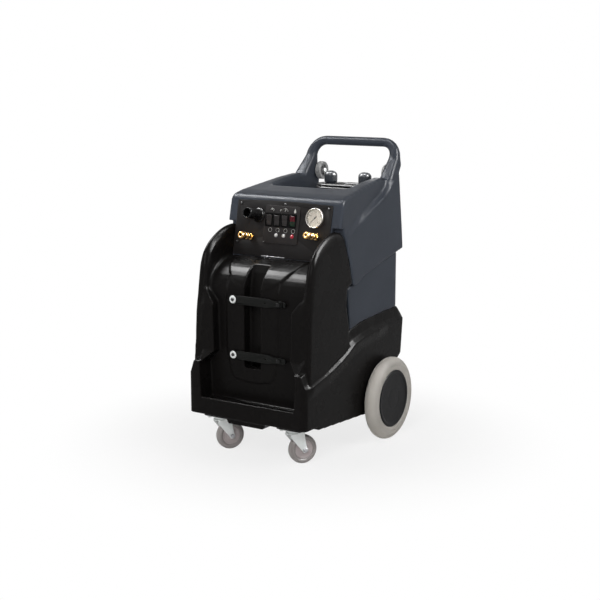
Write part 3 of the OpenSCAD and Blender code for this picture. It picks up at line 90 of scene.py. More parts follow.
def whiteMask(tree):
    # 1 for the rays that should see the white background
    rays = tree.nodes.new("ShaderNodeLightPath")
    first = operator(tree, "MAXIMUM")
    second = operator(tree, "MAXIMUM")
    tree.links.new(rays.outputs["Is Camera Ray"], first.inputs[0])
    tree.links.new(rays.outputs["Is Glossy Ray"], first.inputs[1])
    tree.links.new(first.outputs[0], second.inputs[0])
    tree.links.new(rays.outputs["Is Transmission Ray"], second.inputs[1])
    return second.outputs[0]


world = bpy.data.worlds.new("studio")
scene.world = world
world.use_nodes = True
backSet = {"light": 0.17, "white": 1.0}
back = world.node_tree.nodes["Background"]
mixer = world.node_tree.nodes.new("ShaderNodeMix")
mixer.data_type = "FLOAT"
mixer.inputs[2].default_value = backSet["light"]
mixer.inputs[3].default_value = backSet["white"]
world.node_tree.links.new(whiteMask(world.node_tree), mixer.inputs[0])
world.node_tree.links.new(mixer.outputs[0], back.inputs["Strength"])
back.inputs["Color"].default_value = (1, 1, 1, 1)

floorSet = {"half": 9.0, "clear": 0.35, "far": 1.0, "tone": 0.9, "lift": 0.78}
floorMesh = bpy.data.meshes.new("floor")
half = floorSet["half"]
corners = [(-half, -half, 0), (half, -half, 0), (half, half, 0), (-half, half, 0)]
floorMesh.from_pydata(corners, [], [(0, 1, 2, 3)])
floor = bpy.data.objects.new("floor", floorMesh)
scene.collection.objects.link(floor)
floorMat = bpy.data.materials.new("paleFloor")
floorMat.use_nodes = True
floorTree = floorMat.node_tree
matte = floorTree.nodes["Principled BSDF"]
matte.inputs["Base Color"].default_value = (floorSet["tone"],) * 3 + (1,)
matte.inputs["Roughness"].default_value = 0.95
matte.inputs["Specular IOR Level"].default_value = 0.0
glow = floorTree.nodes.new("ShaderNodeEmission")
glow.inputs["Strength"].default_value = 1.0
# the floor turns into the white background away from the machine
spot = floorTree.nodes.new("ShaderNodeTexCoord")
away = operator(floorTree, "LENGTH", "ShaderNodeVectorMath")
fade = floorTree.nodes.new("ShaderNodeMapRange")
fade.interpolation_type = "SMOOTHSTEP"
fade.inputs["From Min"].default_value = floorSet["clear"]
fade.inputs["From Max"].default_value = floorSet["far"]
fade.inputs["To Min"].default_value = floorSet["lift"]
shown = operator(floorTree, "MULTIPLY")
blendFloor = floorTree.nodes.new("ShaderNodeMixShader")
floorTree.links.new(spot.outputs["Object"], away.inputs[0])
floorTree.links.new(away.outputs["Value"], fade.inputs["Value"])
floorTree.links.new(fade.outputs["Result"], shown.inputs[0])
floorTree.links.new(whiteMask(floorTree), shown.inputs[1])
floorTree.links.new(shown.outputs[0], blendFloor.inputs[0])
floorTree.links.new(matte.outputs[0], blendFloor.inputs[1])
floorTree.links.new(glow.outputs[0], blendFloor.inputs[2])
floorTree.links.new(blendFloor.outputs[0], floorTree.nodes["Material Output"].inputs["Surface"])
floorMesh.materials.append(floorMat)
print("camera, lights and floor ready")


class Shade:
    # a small helper round one node material
    def __init__(self, name):
        self.mat = bpy.data.materials.new(name)
        self.mat.use_nodes = True
        self.tree = self.mat.node_tree
        self.bsdf = self.tree.nodes["Principled BSDF"]
        self.coords = self.tree.nodes.new("ShaderNodeTexCoord").outputs["Object"]

    def add(self, kind, **inputs):
        node = self.tree.nodes.new("ShaderNode" + kind)
        for key, value in inputs.items():
            node.inputs[key].default_value = value
        return node

    def link(self, a, b):
        self.tree.links.new(a, b)

    def noise(self, scale, detail=3.0, roughness=0.55, stretch=None):
        tex = self.add("TexNoise", Scale=scale, Detail=detail, Roughness=roughness)
        coords = self.coords
        if stretch:
            mapping = self.add("Mapping")
            mapping.inputs["Scale"].default_value = stretch
            self.link(coords, mapping.inputs["Vector"])
            coords = mapping.outputs["Vector"]
        self.link(coords, tex.inputs["Vector"])
        return tex.outputs["Fac"]

    def ramp(self, source, low, high, lowValue, highValue):
        span = self.add("MapRange")
        span.inputs["From Min"].default_value = low
        span.inputs["From Max"].default_value = high
        span.inputs["To Min"].default_value = lowValue
        span.inputs["To Max"].default_value = highValue
        self.link(source, span.inputs["Value"])
        return span.outputs["Result"]

    def times(self, source, factor):
        node = operator(self.tree, "MULTIPLY")
        self.link(source, node.inputs[0])
        if isinstance(factor, float):
            node.inputs[1].default_value = factor
        else:
            self.link(factor, node.inputs[1])
        return node.outputs[0]

    def mixColour(self, factor, a, b):
        mix = self.tree.nodes.new("ShaderNodeMix")
        mix.data_type = "RGBA"
        for value, socket in ((a, mix.inputs[6]), (b, mix.inputs[7])):
            if isinstance(value, tuple):
                socket.default_value = (*value, 1)
            else:
                self.link(value, socket)
        if isinstance(factor, float):
            mix.inputs[0].default_value = factor
        else:
            self.link(factor, mix.inputs[0])
        return mix.outputs[2]

    def bump(self, height, strength, distance, normal=None):
        node = self.add("Bump", Strength=strength, Distance=distance)
        self.link(height, node.inputs["Height"])
        if normal is not None:
            self.link(normal, node.inputs["Normal"])
        return node.outputs["Normal"]

    def finish(self, colour=None, roughness=None, normal=None, **fixed):
        for key, value in (("Base Color", colour), ("Roughness", roughness), ("Normal", normal)):
            if value is None:
                continue
            if isinstance(value, (tuple, float, int)):
                self.bsdf.inputs[key].default_value = (*value, 1) if isinstance(value, tuple) else value
            else:
                self.link(value, self.bsdf.inputs[key])
        for key, value in fixed.items():
            self.bsdf.inputs[key.replace("_", " ")].default_value = value
        return self.mat

    def folds(self, low, high):
        # brighter where the surface folds outwards
        geo = self.tree.nodes.new("ShaderNodeNewGeometry")
        return self.ramp(geo.outputs["Pointiness"], low, high, 0.0, 1.0)


def lighter(colour, factor, lift=0.0):
    return tuple(min(1.0, c * factor + lift) for c in colour)


def mouldedPlastic(name, colour, scuff, roughLow, roughHigh, specular, worn, grain=900.0):
    # rotationally moulded plastic: even colour, faint clouds, orange peel, rubbed edges, a few scratches
    s = Shade(name)
    base = s.mixColour(s.ramp(s.noise(5.0, 4.0), 0.35, 0.7, 0.0, 0.5), colour, scuff)
    base = s.mixColour(s.ramp(s.noise(38.0, 5.0, 0.7), 0.56, 0.78, 0.0, 0.5), base, lighter(colour, 1.25))
    scratch = s.ramp(s.noise(1.0, 6.0, 0.75, (14.0, 90.0, 160.0)), 0.66, 0.72, 0.0, 0.45)
    base = s.mixColour(scratch, base, lighter(colour, 1.5, 0.002))
    base = s.mixColour(s.times(s.folds(0.515, 0.60), worn), base, lighter(colour, 1.9, 0.008))
    rough = s.ramp(s.noise(14.0, 5.0), 0.3, 0.7, roughLow, roughHigh)
    skin = s.bump(s.noise(grain, 2.0), 0.5, 0.00012)
    wave = s.bump(s.noise(9.0, 2.0), 0.22, 0.0014, skin)
    return s.finish(base, rough, wave, Specular_IOR_Level=specular)


def plainPlastic(name, colour, rough=0.4, grain=1400.0, depth=0.00008, specular=0.5, variation=0.25):
    s = Shade(name)
    tone = s.ramp(s.noise(60.0, 4.0), 0.3, 0.7, 0.0, variation)
    base = s.mixColour(tone, colour, lighter(colour, 1.5, 0.003))
    base = s.mixColour(s.times(s.folds(0.52, 0.62), 0.4), base, lighter(colour, 1.8, 0.006))
    roughness = s.ramp(s.noise(90.0, 3.0), 0.3, 0.7, rough * 0.85, rough * 1.2)
    return s.finish(base, roughness, s.bump(s.noise(grain, 2.0), 0.4, depth), Specular_IOR_Level=specular)


def rubberSkin(name, colour, dust, rough=0.6, grain=700.0, specular=0.3):
    s = Shade(name)
    base = s.mixColour(s.ramp(s.noise(26.0, 6.0, 0.65), 0.4, 0.75, 0.0, 0.7), colour, dust)
    base = s.mixColour(s.ramp(s.noise(7.0, 3.0), 0.45, 0.7, 0.0, 0.35), base, lighter(colour, 0.8))
    roughness = s.ramp(s.noise(50.0, 4.0), 0.3, 0.7, rough * 0.85, min(1.0, rough * 1.15))
    return s.finish(base, roughness, s.bump(s.noise(grain, 3.0), 0.45, 0.00015), Specular_IOR_Level=specular)


def platedSteel(name, colour, rough=0.3, stretch=(60.0, 60.0, 900.0), metallic=1.0):
    s = Shade(name)
    brushed = s.noise(1.0, 4.0, 0.6, stretch)
    base = s.mixColour(s.ramp(brushed, 0.3, 0.7, 0.0, 0.5), colour, lighter(colour, 0.85))
    spots = s.ramp(s.noise(120.0, 4.0, 0.7), 0.62, 0.8, 0.0, 0.4)
    base = s.mixColour(spots, base, lighter(colour, 0.65))
    roughness = s.ramp(brushed, 0.2, 0.8, rough * 0.8, rough * 1.3)
    return s.finish(base, roughness, s.bump(brushed, 0.15, 0.0001), Metallic=metallic)


def machinedBrass(name):
    s = Shade(name)
    turned = s.noise(1.0, 3.0, 0.5, (260.0, 260.0, 260.0))
    tarnish = s.ramp(s.noise(70.0, 5.0, 0.7), 0.45, 0.75, 0.0, 0.75)
    base = s.mixColour(tarnish, (0.66, 0.42, 0.17), (0.42, 0.23, 0.08))
    return s.finish(base, s.ramp(turned, 0.3, 0.7, 0.16, 0.32), s.bump(turned, 0.12, 0.0001), Metallic=1.0)


def glossLens(name, colour, glow):
    s = Shade(name)
    base = s.mixColour(s.ramp(s.noise(300.0, 2.0), 0.3, 0.7, 0.0, 0.3), colour, glow)
    return s.finish(base, 0.12, s.bump(s.noise(500.0, 1.0), 0.1, 0.00005), Coat_Weight=0.6, Coat_Roughness=0.05)


def twoToneRocker(name, above, below, height):
    # the fourth rocker is red above and green below its middle
    s = Shade(name)
    split = s.tree.nodes.new("ShaderNodeSeparateXYZ")
    s.link(s.coords, split.inputs[0])
    half = s.ramp(split.outputs["Z"], height - 0.0006, height + 0.0006, 0.0, 1.0)
    base = s.mixColour(half, below, above)
    base = s.mixColour(s.ramp(s.noise(240.0, 3.0), 0.45, 0.7, 0.0, 0.4), base, lighter(above, 0.6))
    return s.finish(base, 0.2, s.bump(s.noise(600.0, 2.0), 0.2, 0.00006), Specular_IOR_Level=0.15)


def clearGlass(name):
    s = Shade(name)
    dust = s.ramp(s.noise(160.0, 4.0), 0.45, 0.8, 0.02, 0.09)
    return s.finish((0.96, 0.98, 0.98), dust, None, Transmission_Weight=1.0, IOR=1.12, Specular_IOR_Level=0.3)


finishes = {
    "black_plastic": mouldedPlastic("blackTank", (0.0070, 0.0063, 0.0061), (0.0100, 0.0092, 0.0088),
                                    0.22, 0.33, 0.03, 0.3),
    "grey_plastic": mouldedPlastic("greyTank", (0.056, 0.064, 0.081), (0.068, 0.077, 0.095), 0.28,
                                   0.38, 0.03, 0.22),
    "panel_black": plainPlastic("panelSheet", (0.0120, 0.0108, 0.0108), 0.5, 1800.0, 0.0001, 0.06),
    "plate_black": plainPlastic("switchPlate", (0.026, 0.0235, 0.0235), 0.45, specular=0.05),
    "switch_black": plainPlastic("switchBlack", (0.012, 0.012, 0.012), 0.3, specular=0.3),
    "switch_red": twoToneRocker("switchRed", (0.085, 0.006, 0.012), (0.004, 0.022, 0.010), 0.8195),
    "lens_white": glossLens("lensWhite", (0.62, 0.61, 0.58), (0.8, 0.8, 0.78)),
    "lens_red": glossLens("lensRed", (0.50, 0.010, 0.028), (0.75, 0.03, 0.06)),
    "gauge_metal": platedSteel("gaugeCase", (0.42, 0.40, 0.37), 0.34),
    "dial_white": plainPlastic("dialWhite", (0.29, 0.26, 0.225), 0.6, variation=0.1, specular=0.1),
    "black_steel": plainPlastic("blackSteel", (0.010, 0.010, 0.010), 0.35),
    "gauge_glass": clearGlass("gaugeGlass"),
    "port_black": plainPlastic("portBlack", (0.0055, 0.0055, 0.0055), 0.25, specular=0.14),
    "brass": machinedBrass("brass"),
    "strap_rubber": rubberSkin("strapRubber", (0.0085, 0.009, 0.0085), (0.014, 0.014, 0.013), 0.45,
                               specular=0.06),
    "zinc_steel": platedSteel("zincSteel", (0.74, 0.76, 0.75), 0.4, metallic=0.4),
    "caster_rubber": rubberSkin("casterRubber", (0.31, 0.285, 0.275), (0.37, 0.345, 0.335), 0.5, specular=0.15),
    "axle_steel": platedSteel("axleSteel", (0.5, 0.5, 0.51), 0.28),
    "hub_black": plainPlastic("hubBlack", (0.0135, 0.0133, 0.014), 0.42, specular=0.04),
    "grey_tyre": rubberSkin("greyTyre", (0.53, 0.50, 0.455), (0.60, 0.565, 0.52), 0.65, specular=0.1),
    "cord_black": rubberSkin("cordSheath", (0.0065, 0.0065, 0.0065), (0.012, 0.012, 0.012), 0.36, 1500.0),
    "motor_metal": platedSteel("motorMetal", (0.5, 0.5, 0.5), 0.4),
    "motor_black": plainPlastic("motorBlack", (0.02, 0.02, 0.02), 0.5),
}
extras = {
    "whitePrint": plainPlastic("whitePrint", (0.42, 0.42, 0.40), 0.6, variation=0.2, specular=0.2),
    "darkPrint": plainPlastic("darkPrint", (0.03, 0.03, 0.032), 0.6, variation=0.2, specular=0.2),
    "casterHub": rubberSkin("casterHub", (0.46, 0.40, 0.40), (0.54, 0.49, 0.48), 0.45, specular=0.2),
    "loadHub": plainPlastic("loadHub", (0.17, 0.17, 0.175), 0.45, specular=0.3),
    "loadTyre": rubberSkin("loadTyre", (0.40, 0.40, 0.40), (0.48, 0.48, 0.47), 0.55, specular=0.15),
    "hornPlastic": mouldedPlastic("hornPlastic", (0.022, 0.027, 0.036), (0.03, 0.035, 0.045), 0.3,
                                  0.42, 0.35, 0.3),
    "dullClip": platedSteel("dullClip", (0.32, 0.32, 0.33), 0.35),
}
slotOf = {part["node"]: part["material_slot"] for part in frame["record"]["subparts"]}
for nodeName, piece in nodes.items():
    for place in piece.material_slots:
        place.material = finishes[slotOf[nodeName]]
print("materials ready:", len(finishes) + len(extras))


def mm(points):
    # outline or profile points from millimetres to metres
    return [(a / 1000, b / 1000) for a, b in points]


def shifted(x, y, z):
    return Matrix.Translation((x / 1000, y / 1000, z / 1000))


def quarterTurn(axis, sign=1):
    return Matrix.Rotation(math.radians(90 * sign), 4, axis)


def oblong(left, low, right, high):
    return [(left, low), (right, low), (right, high), (left, high)]


def ring(r, h, n):
    return [(r * math.cos(2 * math.pi * k / n), r * math.sin(2 * math.pi * k / n), h) for k in range(n)]


def softened(profile, radius, steps=3):
    # rounds the inner corners of an open profile
    out = [profile[0]]
    for before, here, after in zip(profile, profile[1:], profile[2:]):
        a, b, c = Vector(before), Vector(here), Vector(after)
        reach = min(radius, (a - b).length * 0.45, (c - b).length * 0.45)
        if reach < 1e-6:
            out.append(here)
            continue
        start, end = b + (a - b).normalized() * reach, b + (c - b).normalized() * reach
        for k in range(steps + 1):
            t = k / steps
            p = start * (1 - t) ** 2 + b * 2 * t * (1 - t) + end * t ** 2
            out.append((p.x, p.y))
    return out + [profile[-1]]


def turned(bm, profile, segments, closed=False):
    # adds the solid of revolution of a profile of (radius, height) round Z
    rows = []
    for r, h in profile:
        rows.append([bm.verts.new(p) for p in (ring(r, h, segments) if r > 1e-7 else [(0, 0, h)])])
    pairs = list(zip(rows, rows[1:])) + ([(rows[-1], rows[0])] if closed else [])
    made = []
    for low, high in pairs:
        for k in range(segments):
            j = (k + 1) % segments
            if len(low) == 1 and len(high) == 1:
                continue
            if len(low) == 1:
                made.append(bm.faces.new((low[0], high[j], high[k])))
            elif len(high) == 1:
                made.append(bm.faces.new((low[k], low[j], high[0])))
            else:
                made.append(bm.faces.new((low[k], low[j], high[j], high[k])))
    bmesh.ops.recalc_face_normals(bm, faces=made)
    return made


def slab(bm, outline, low, high, bevel=0.0, segments=2):
    # adds a flat piece with a closed outline, its upper and lower edges bevelled
    bottom = [bm.verts.new((x, y, low)) for x, y in outline]
    top = [bm.verts.new((x, y, high)) for x, y in outline]
    made = [bm.faces.new(bottom[::-1]), bm.faces.new(top)]
    count = len(outline)
    for k in range(count):
        j = (k + 1) % count
        made.append(bm.faces.new((bottom[k], bottom[j], top[j], top[k])))
    bmesh.ops.recalc_face_normals(bm, faces=made)
    if bevel:
        edges = set(made[0].edges) | set(made[1].edges)
        bmesh.ops.bevel(bm, geom=list(edges), offset=bevel, segments=segments, profile=0.5, affect="EDGES",
                        clamp_overlap=True)


def roundedOutline(points, radius, steps=5):
    # a closed outline with every corner rounded
    out = []
    count = len(points)
    for k in range(count):
        a, b, c = Vector(points[k - 1]), Vector(points[k]), Vector(points[(k + 1) % count])
        reach = min(radius, (a - b).length * 0.48, (c - b).length * 0.48)
        start, end = b + (a - b).normalized() * reach, b + (c - b).normalized() * reach
        for i in range(steps + 1):
            t = i / steps
            p = start * (1 - t) ** 2 + b * 2 * t * (1 - t) + end * t ** 2
            out.append((p.x, p.y))
    return out


def asObject(name, bm, looks, smoothAngle=40, place=None):
    # turns a bmesh into an object with its place in its mesh
    if place is not None:
        bm.transform(place)
    mesh = bpy.data.meshes.new(name)
    bm.to_mesh(mesh)
    bm.free()
    piece = bpy.data.objects.new(name, mesh)
    scene.collection.objects.link(piece)
    for look in looks:
        mesh.materials.append(look)
    if smoothAngle:
        mesh.shade_smooth()
        mesh.set_sharp_from_angle(angle=math.radians(smoothAngle))
    return piece


def lathe(name, look, profile, segments, soft=None, tail=(), closed=False, smoothAngle=40, place=None):
    # a turned piece, in millimetres; soft is the radius and the steps of its corners, and tail stays sharp
    line = mm(profile)
    if soft:
        line = softened(line, soft[0] / 1000, soft[1])
    bm = bmesh.new()
    turned(bm, line + mm(tail), segments, closed)
    return asObject(name, bm, [look], smoothAngle, place)


def flat(name, look, outline, low, high, bevel=0.0, segments=2, soft=None, smoothAngle=40, place=None):
    # a flat piece with a closed outline, in millimetres
    line = mm(outline)
    if soft:
        line = softened(line, soft[0] / 1000, soft[1])
    bm = bmesh.new()
    slab(bm, line, low / 1000, high / 1000, bevel / 1000, segments)
    return asObject(name, bm, [look], smoothAngle, place)


def settle(piece, body, slotName, *replaced):
    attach(piece, body)
    if replaced:
        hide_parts(*replaced)
    return piece


def merged(name, pieces):
    # one piece out of several, with their materials
    bm = bmesh.new()
    looks = []
    for piece in pieces:
        own = list(piece.data.materials)
        start = len(bm.faces)
        bm.from_mesh(piece.data)
        bm.faces.ensure_lookup_table()
        for face in bm.faces[start:]:
            look = own[face.material_index]
            if look not in looks:
                looks.append(look)
            face.material_index = looks.index(look)
        old = piece.data
        bpy.data.objects.remove(piece)
        bpy.data.meshes.remove(old)
    return asObject(name, bm, looks)


def bake(piece):
    # puts the modifiers' result in the mesh
    bpy.context.view_layer.update()
    graph = bpy.context.evaluated_depsgraph_get()
    made = bpy.data.meshes.new_from_object(piece.evaluated_get(graph))
    old = piece.data
    piece.modifiers.clear()
    piece.data = made
    made.name = piece.name
    if old.users == 0:
        bpy.data.meshes.remove(old)
    return piece


sides = {"left": -1, "right": 1}
panelSet = {"top": (0.0, -0.1333, 0.8827), "lean": 12.0}
lean = math.radians(panelSet["lean"])
panelFrame = Matrix(((1, 0, 0, panelSet["top"][0]),
                     (0, math.sin(lean), -math.cos(lean), panelSet["top"][1]),
                     (0, math.cos(lean), math.sin(lean), panelSet["top"][2]),
                     (0, 0, 0, 1)))


def onPanel(x, y, z=0.0):
    # a place on the control panel, in millimetres across, up the slope and out of it
    return panelFrame @ shifted(x, y, z)


class Growth:
    # one geometry node tree with named inputs
    def __init__(self, name, sockets):
        self.tree = bpy.data.node_groups.new(name, "GeometryNodeTree")
        side = self.tree.interface
        side.new_socket("Geometry", in_out="INPUT", socket_type="NodeSocketGeometry")
        side.new_socket("Geometry", in_out="OUTPUT", socket_type="NodeSocketGeometry")
        for label, kind in sockets:
            side.new_socket(label, in_out="INPUT", socket_type="NodeSocket" + kind)
        self.entry = self.tree.nodes.new("NodeGroupInput")
        self.exit = self.tree.nodes.new("NodeGroupOutput")

    def add(self, kind, **links):
        node = self.tree.nodes.new(kind)
        for label, value in links.items():
            socket = node.inputs[label.replace("_", " ")]
            if isinstance(value, bpy.types.NodeSocket):
                self.tree.links.new(value, socket)
            else:
                socket.default_value = value
        return node

    def close(self, points, turning=None):
        # instances of the shape on the points, realised and given the finish
        shape = self.add("GeometryNodeObjectInfo", Object=self.entry.outputs["Shape"])
        laid = self.add("GeometryNodeInstanceOnPoints", Points=points, Instance=shape.outputs["Geometry"])
        if turning is not None:
            self.tree.links.new(turning, laid.inputs["Rotation"])
        real = self.add("GeometryNodeRealizeInstances", Geometry=laid.outputs["Instances"])
        done = self.add("GeometryNodeSetMaterial", Geometry=real.outputs["Geometry"],
                        Material=self.entry.outputs["Finish"])
        self.tree.links.new(done.outputs["Geometry"], self.exit.inputs["Geometry"])
        return self.tree


def roundTree():
    # shapes on an arc round Z, each with its X pointing outwards
    g = Growth("roundTheAxis", (("Shape", "Object"), ("Finish", "Material"), ("Count", "Int"),
                                ("Radius", "Float"), ("Start", "Float"), ("Sweep", "Float")))
    arc = g.add("GeometryNodeCurveArc", Resolution=g.entry.outputs["Count"], Radius=g.entry.outputs["Radius"],
                Start_Angle=g.entry.outputs["Start"], Sweep_Angle=g.entry.outputs["Sweep"])
    spotNode = g.add("GeometryNodeCurveToPoints")
    spotNode.mode = "EVALUATED"
    g.tree.links.new(arc.outputs["Curve"], spotNode.inputs["Curve"])
    where = g.add("GeometryNodeInputPosition")
    turning = g.add("FunctionNodeAlignRotationToVector", Vector=where.outputs["Position"])
    turning.axis = "X"
    turning.pivot_axis = "Z"
    return g.close(spotNode.outputs["Points"], turning.outputs["Rotation"])


def spotTree():
    # shapes on the points of a mesh
    g = Growth("onGivenSpots", (("Shape", "Object"), ("Finish", "Material")))
    return g.close(g.entry.outputs["Geometry"])


trees = {"round": roundTree(), "spots": spotTree()}


def repeated(name, kind, shape, look, values, place, spots=()):
    # runs a tree and returns its result as a plain piece
    mesh = bpy.data.meshes.new(name)
    mesh.from_pydata([tuple(p) for p in spots], [], [])
    piece = bpy.data.objects.new(name, mesh)
    scene.collection.objects.link(piece)
    growing = piece.modifiers.new("grow", "NODES")
    growing.node_group = trees[kind]
    given = {"Shape": shape, "Finish": look, **values}
    for item in trees[kind].interface.items_tree:
        if item.in_out == "INPUT" and item.name in given:
            growing[item.identifier] = given[item.name]
    bake(piece)
    piece.data.transform(place)
    piece.data.shade_smooth()
    piece.data.set_sharp_from_angle(angle=math.radians(35))
    old = shape.data
    bpy.data.objects.remove(shape)
    bpy.data.meshes.remove(old)
    return piece


def ringed(name, shape, look, count, radius, place, start=0, sweep=360):
    # copies of a shape on an arc round Z; the last copy of a full circle falls on the first
    values = {"Count": count, "Radius": radius / 1000, "Start": math.radians(start),
              "Sweep": math.radians(sweep)}
    return repeated(name, "round", shape, look, values, place)


cordSet = {"thick": 0.010, "hookX": 0.075, "hookY": 0.298, "hookRadius": 0.020, "shelf": 0.873, "layers": 4,
           "turnsPerLayer": 3, "stepsPerLoop": 48, "exit": (0.058, 0.350, 0.392)}


def windingPoints(c):
    # same rule as the wound solid: spirals in and out, a layer higher each time it reverses
    pitch, rise = c["thick"] + 0.00045, c["thick"] + 0.0006
    inner = c["hookRadius"] + 0.0005 + c["thick"] / 2
    low = c["shelf"] + 0.0003 + c["thick"] / 2
    x, count = c["hookX"], c["turnsPerLayer"]
    points = []
    steps = c["stepsPerLoop"]
    for i in range(c["layers"] * count * steps + 1):
        t = i / steps
        u = (i % steps) * 24 / steps
        r = inner + pitch * abs((t / count) % 2 - 1) * count
        k = round(t / count)
        off = (t - k * count) * 24
        if k <= 0:
            layer = 0
        elif k >= c["layers"]:
            layer = c["layers"] - 1
        elif abs(off) >= 2:
            layer = k - 1 if off < 0 else k
        else:
            layer = k - 0.5 + off / 4
        if u <= 2:
            px, py = -x * u / 2, r
        elif u <= 10:
            a = math.radians(90 + 22.5 * (u - 2))
            px, py = -x + r * math.cos(a), r * math.sin(a)
        elif u <= 14:
            px, py = -x + x * (u - 10) / 2, -r
        elif u <= 22:
            a = math.radians(270 + 22.5 * (u - 14))
            px, py = x + r * math.cos(a), r * math.sin(a)
        else:
            px, py = x - x * (u - 22) / 2, r
        points.append(Vector((px, c["hookY"] + py, low + rise * layer)))
    return points


def splineThrough(route, steps):
    out = []
    for i in range(len(route) - 1):
        a, b = route[max(i - 1, 0)], route[i]
        c, d = route[i + 1], route[min(i + 2, len(route) - 1)]
        for k in range(steps):
            t = k / steps
            out.append(0.5 * (2 * b + (c - a) * t + (2 * a - 5 * b + 4 * c - d) * t * t
                              + (3 * b - a - 3 * c + d) * t ** 3))
    return out + [route[-1]]


winding = windingPoints(cordSet)
rear = winding[0].y
lowZ, highZ = winding[0].z, winding[-1].z
endRun = cordSet["thick"]
ex, ey, ez = cordSet["exit"]
leadRoute = [Vector(p) for p in (
    (ex, ey + 0.011, ez), (ex, ey + 0.032, ez + 0.007), (ex, ey + 0.048, ez + 0.026),
    (ex, ey + 0.053, ez + 0.054), (0.058, 0.398, 0.500), (0.058, 0.394, 0.570), (0.058, 0.386, 0.650),
    (0.058, 0.377, 0.730), (0.057, 0.367, 0.800), (0.054, 0.360, 0.838), (0.046, rear, 0.860),
    (0.034, rear, 0.873), (0.022, rear, lowZ))]
tailRoute = [Vector(p) for p in (
    (-0.022, rear, highZ), (-0.036, rear + 0.004, highZ - 0.001), (-0.056, rear + 0.011, highZ - 0.006),
    (-0.076, rear + 0.015, highZ - 0.018), (-0.088, rear + 0.016, highZ - 0.036),
    (-0.093, rear + 0.016, highZ - 0.060), (-0.093, rear + 0.016, highZ - 0.100),
    (-0.092, rear + 0.016, highZ - 0.150), (-0.092, rear + 0.016, highZ - 0.200))]
tailEnd = Vector((-0.092, rear + 0.016, highZ - 0.212))
cordPath = [Vector(cordSet["exit"])] + splineThrough(leadRoute, 4) + [Vector((endRun, rear, lowZ))] + winding \
    + [Vector((-endRun, rear, highZ))] + splineThrough(tailRoute, 4) + [tailEnd]
cordCurve = bpy.data.curves.new("powerCord", "CURVE")
cordCurve.dimensions = "3D"
cordCurve.bevel_depth = cordSet["thick"] / 2
cordCurve.bevel_resolution = 3
cordCurve.use_fill_caps = True
line = cordCurve.splines.new("POLY")
line.points.add(len(cordPath) - 1)
for spot, p in zip(line.points, cordPath):
    spot.co = (*p, 1)
powerCord = bpy.data.objects.new("powerCord", cordCurve)
scene.collection.objects.link(powerCord)
cordCurve.materials.append(finishes["cord_black"])
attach(powerCord, "machine")
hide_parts("cord_lead", "cord_winding", "cord_tail")


def outerSkin(nodeName, pieceName):
    # a merged copy of a solid's outer surface, without its sealed spaces
    mesh = nodes[nodeName].data.copy()
    mesh.name = pieceName
    bm = bmesh.new()
    bm.from_mesh(mesh)
    bmesh.ops.remove_doubles(bm, verts=bm.verts, dist=0.00002)
    bm.verts.ensure_lookup_table()
    seen, islands = set(), []
    for start in bm.verts:
        if start in seen:
            continue
        stack, island = [start], []
        seen.add(start)
        while stack:
            v = stack.pop()
            island.append(v)
            for e in v.link_edges:
                o = e.other_vert(v)
                if o not in seen:
                    seen.add(o)
                    stack.append(o)
        islands.append(island)

    def spread(island):
        return sum(max(v.co[k] for v in island) - min(v.co[k] for v in island) for k in range(3))

    islands.sort(key=spread, reverse=True)
    for island in islands[1:]:
        bmesh.ops.delete(bm, geom=island, context="VERTS")
    bm.to_mesh(mesh)
    bm.free()
    piece = bpy.data.objects.new(pieceName, mesh)
    scene.collection.objects.link(piece)
    return piece


def mouldedShell(nodeName, pieceName, body, voxel, rounds, keep, melt=None, shape=None):
    piece = outerSkin(nodeName, pieceName)
    remesh = piece.modifiers.new("skin", "REMESH")
    remesh.mode = "VOXEL"
    remesh.voxel_size = voxel
    soften = piece.modifiers.new("soften", "SMOOTH")
    soften.factor = 0.5
    soften.iterations = rounds
    bake(piece)
    if shape:
        for v in piece.data.vertices:
            v.co.x += shape(v.co)
    if melt:
        # long soft rolls where the mould has big radii
        group = piece.vertex_groups.new(name="melt")
        for v in piece.data.vertices:
            share = melt["weight"](v.co)
            if share > 0:
                group.add([v.index], share, "REPLACE")
        roll = piece.modifiers.new("roll", "SMOOTH")
        roll.vertex_group = "melt"
        roll.factor = 0.5
        roll.iterations = melt["rounds"]
    thin = piece.modifiers.new("thin", "DECIMATE")
    thin.ratio = keep
    bake(piece)
    piece.vertex_groups.clear()
    for polygon in piece.data.polygons:
        polygon.use_smooth = True
    piece.data.materials.clear()
    piece.data.materials.append(finishes[slotOf[nodeName]])
    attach(piece, body)
    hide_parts(nodeName)
    print(pieceName, "faces:", len(piece.data.polygons))
    return piece


def fadeBetween(value, low, high):
    return max(0.0, min(1.0, (value - low) / (high - low)))


# the skirt's top edge stands out as a rolled ledge, which rises towards the rear
ledgeSet = {"line": ((-368, 287), (-231, 320), (-160, 343), (-113, 363), (-63, 391), (0, 405), (63, 412),
                     (183, 419)), "out": 5.5, "above": 11, "below": 3, "tail": 48}


def ledgeRoll(at):
    if abs(at.x) < 0.234:
        return 0.0
    y, z = at.y * 1000, at.z * 1000
    line = ledgeSet["line"]
    if y <= line[0][0] or y >= line[-1][0]:
        return 0.0
    for (y0, z0), (y1, z1) in zip(line, line[1:]):
        if y0 <= y <= y1:
            above = z - (z0 + (z1 - z0) * (y - y0) / (y1 - y0))
    ends = fadeBetween(y, line[0][0] + 2, line[0][0] + 32) * (1 - fadeBetween(y, line[-1][0] - 70, line[-1][0]))
    if above > -ledgeSet["below"]:
        share = 1 - fadeBetween(above, -ledgeSet["below"], ledgeSet["above"])
    else:
        low = fadeBetween(above, -ledgeSet["tail"], -ledgeSet["below"])
        share = low * low * (3 - 2 * low)
    return math.copysign(ledgeSet["out"] / 1000 * share * ends, at.x)


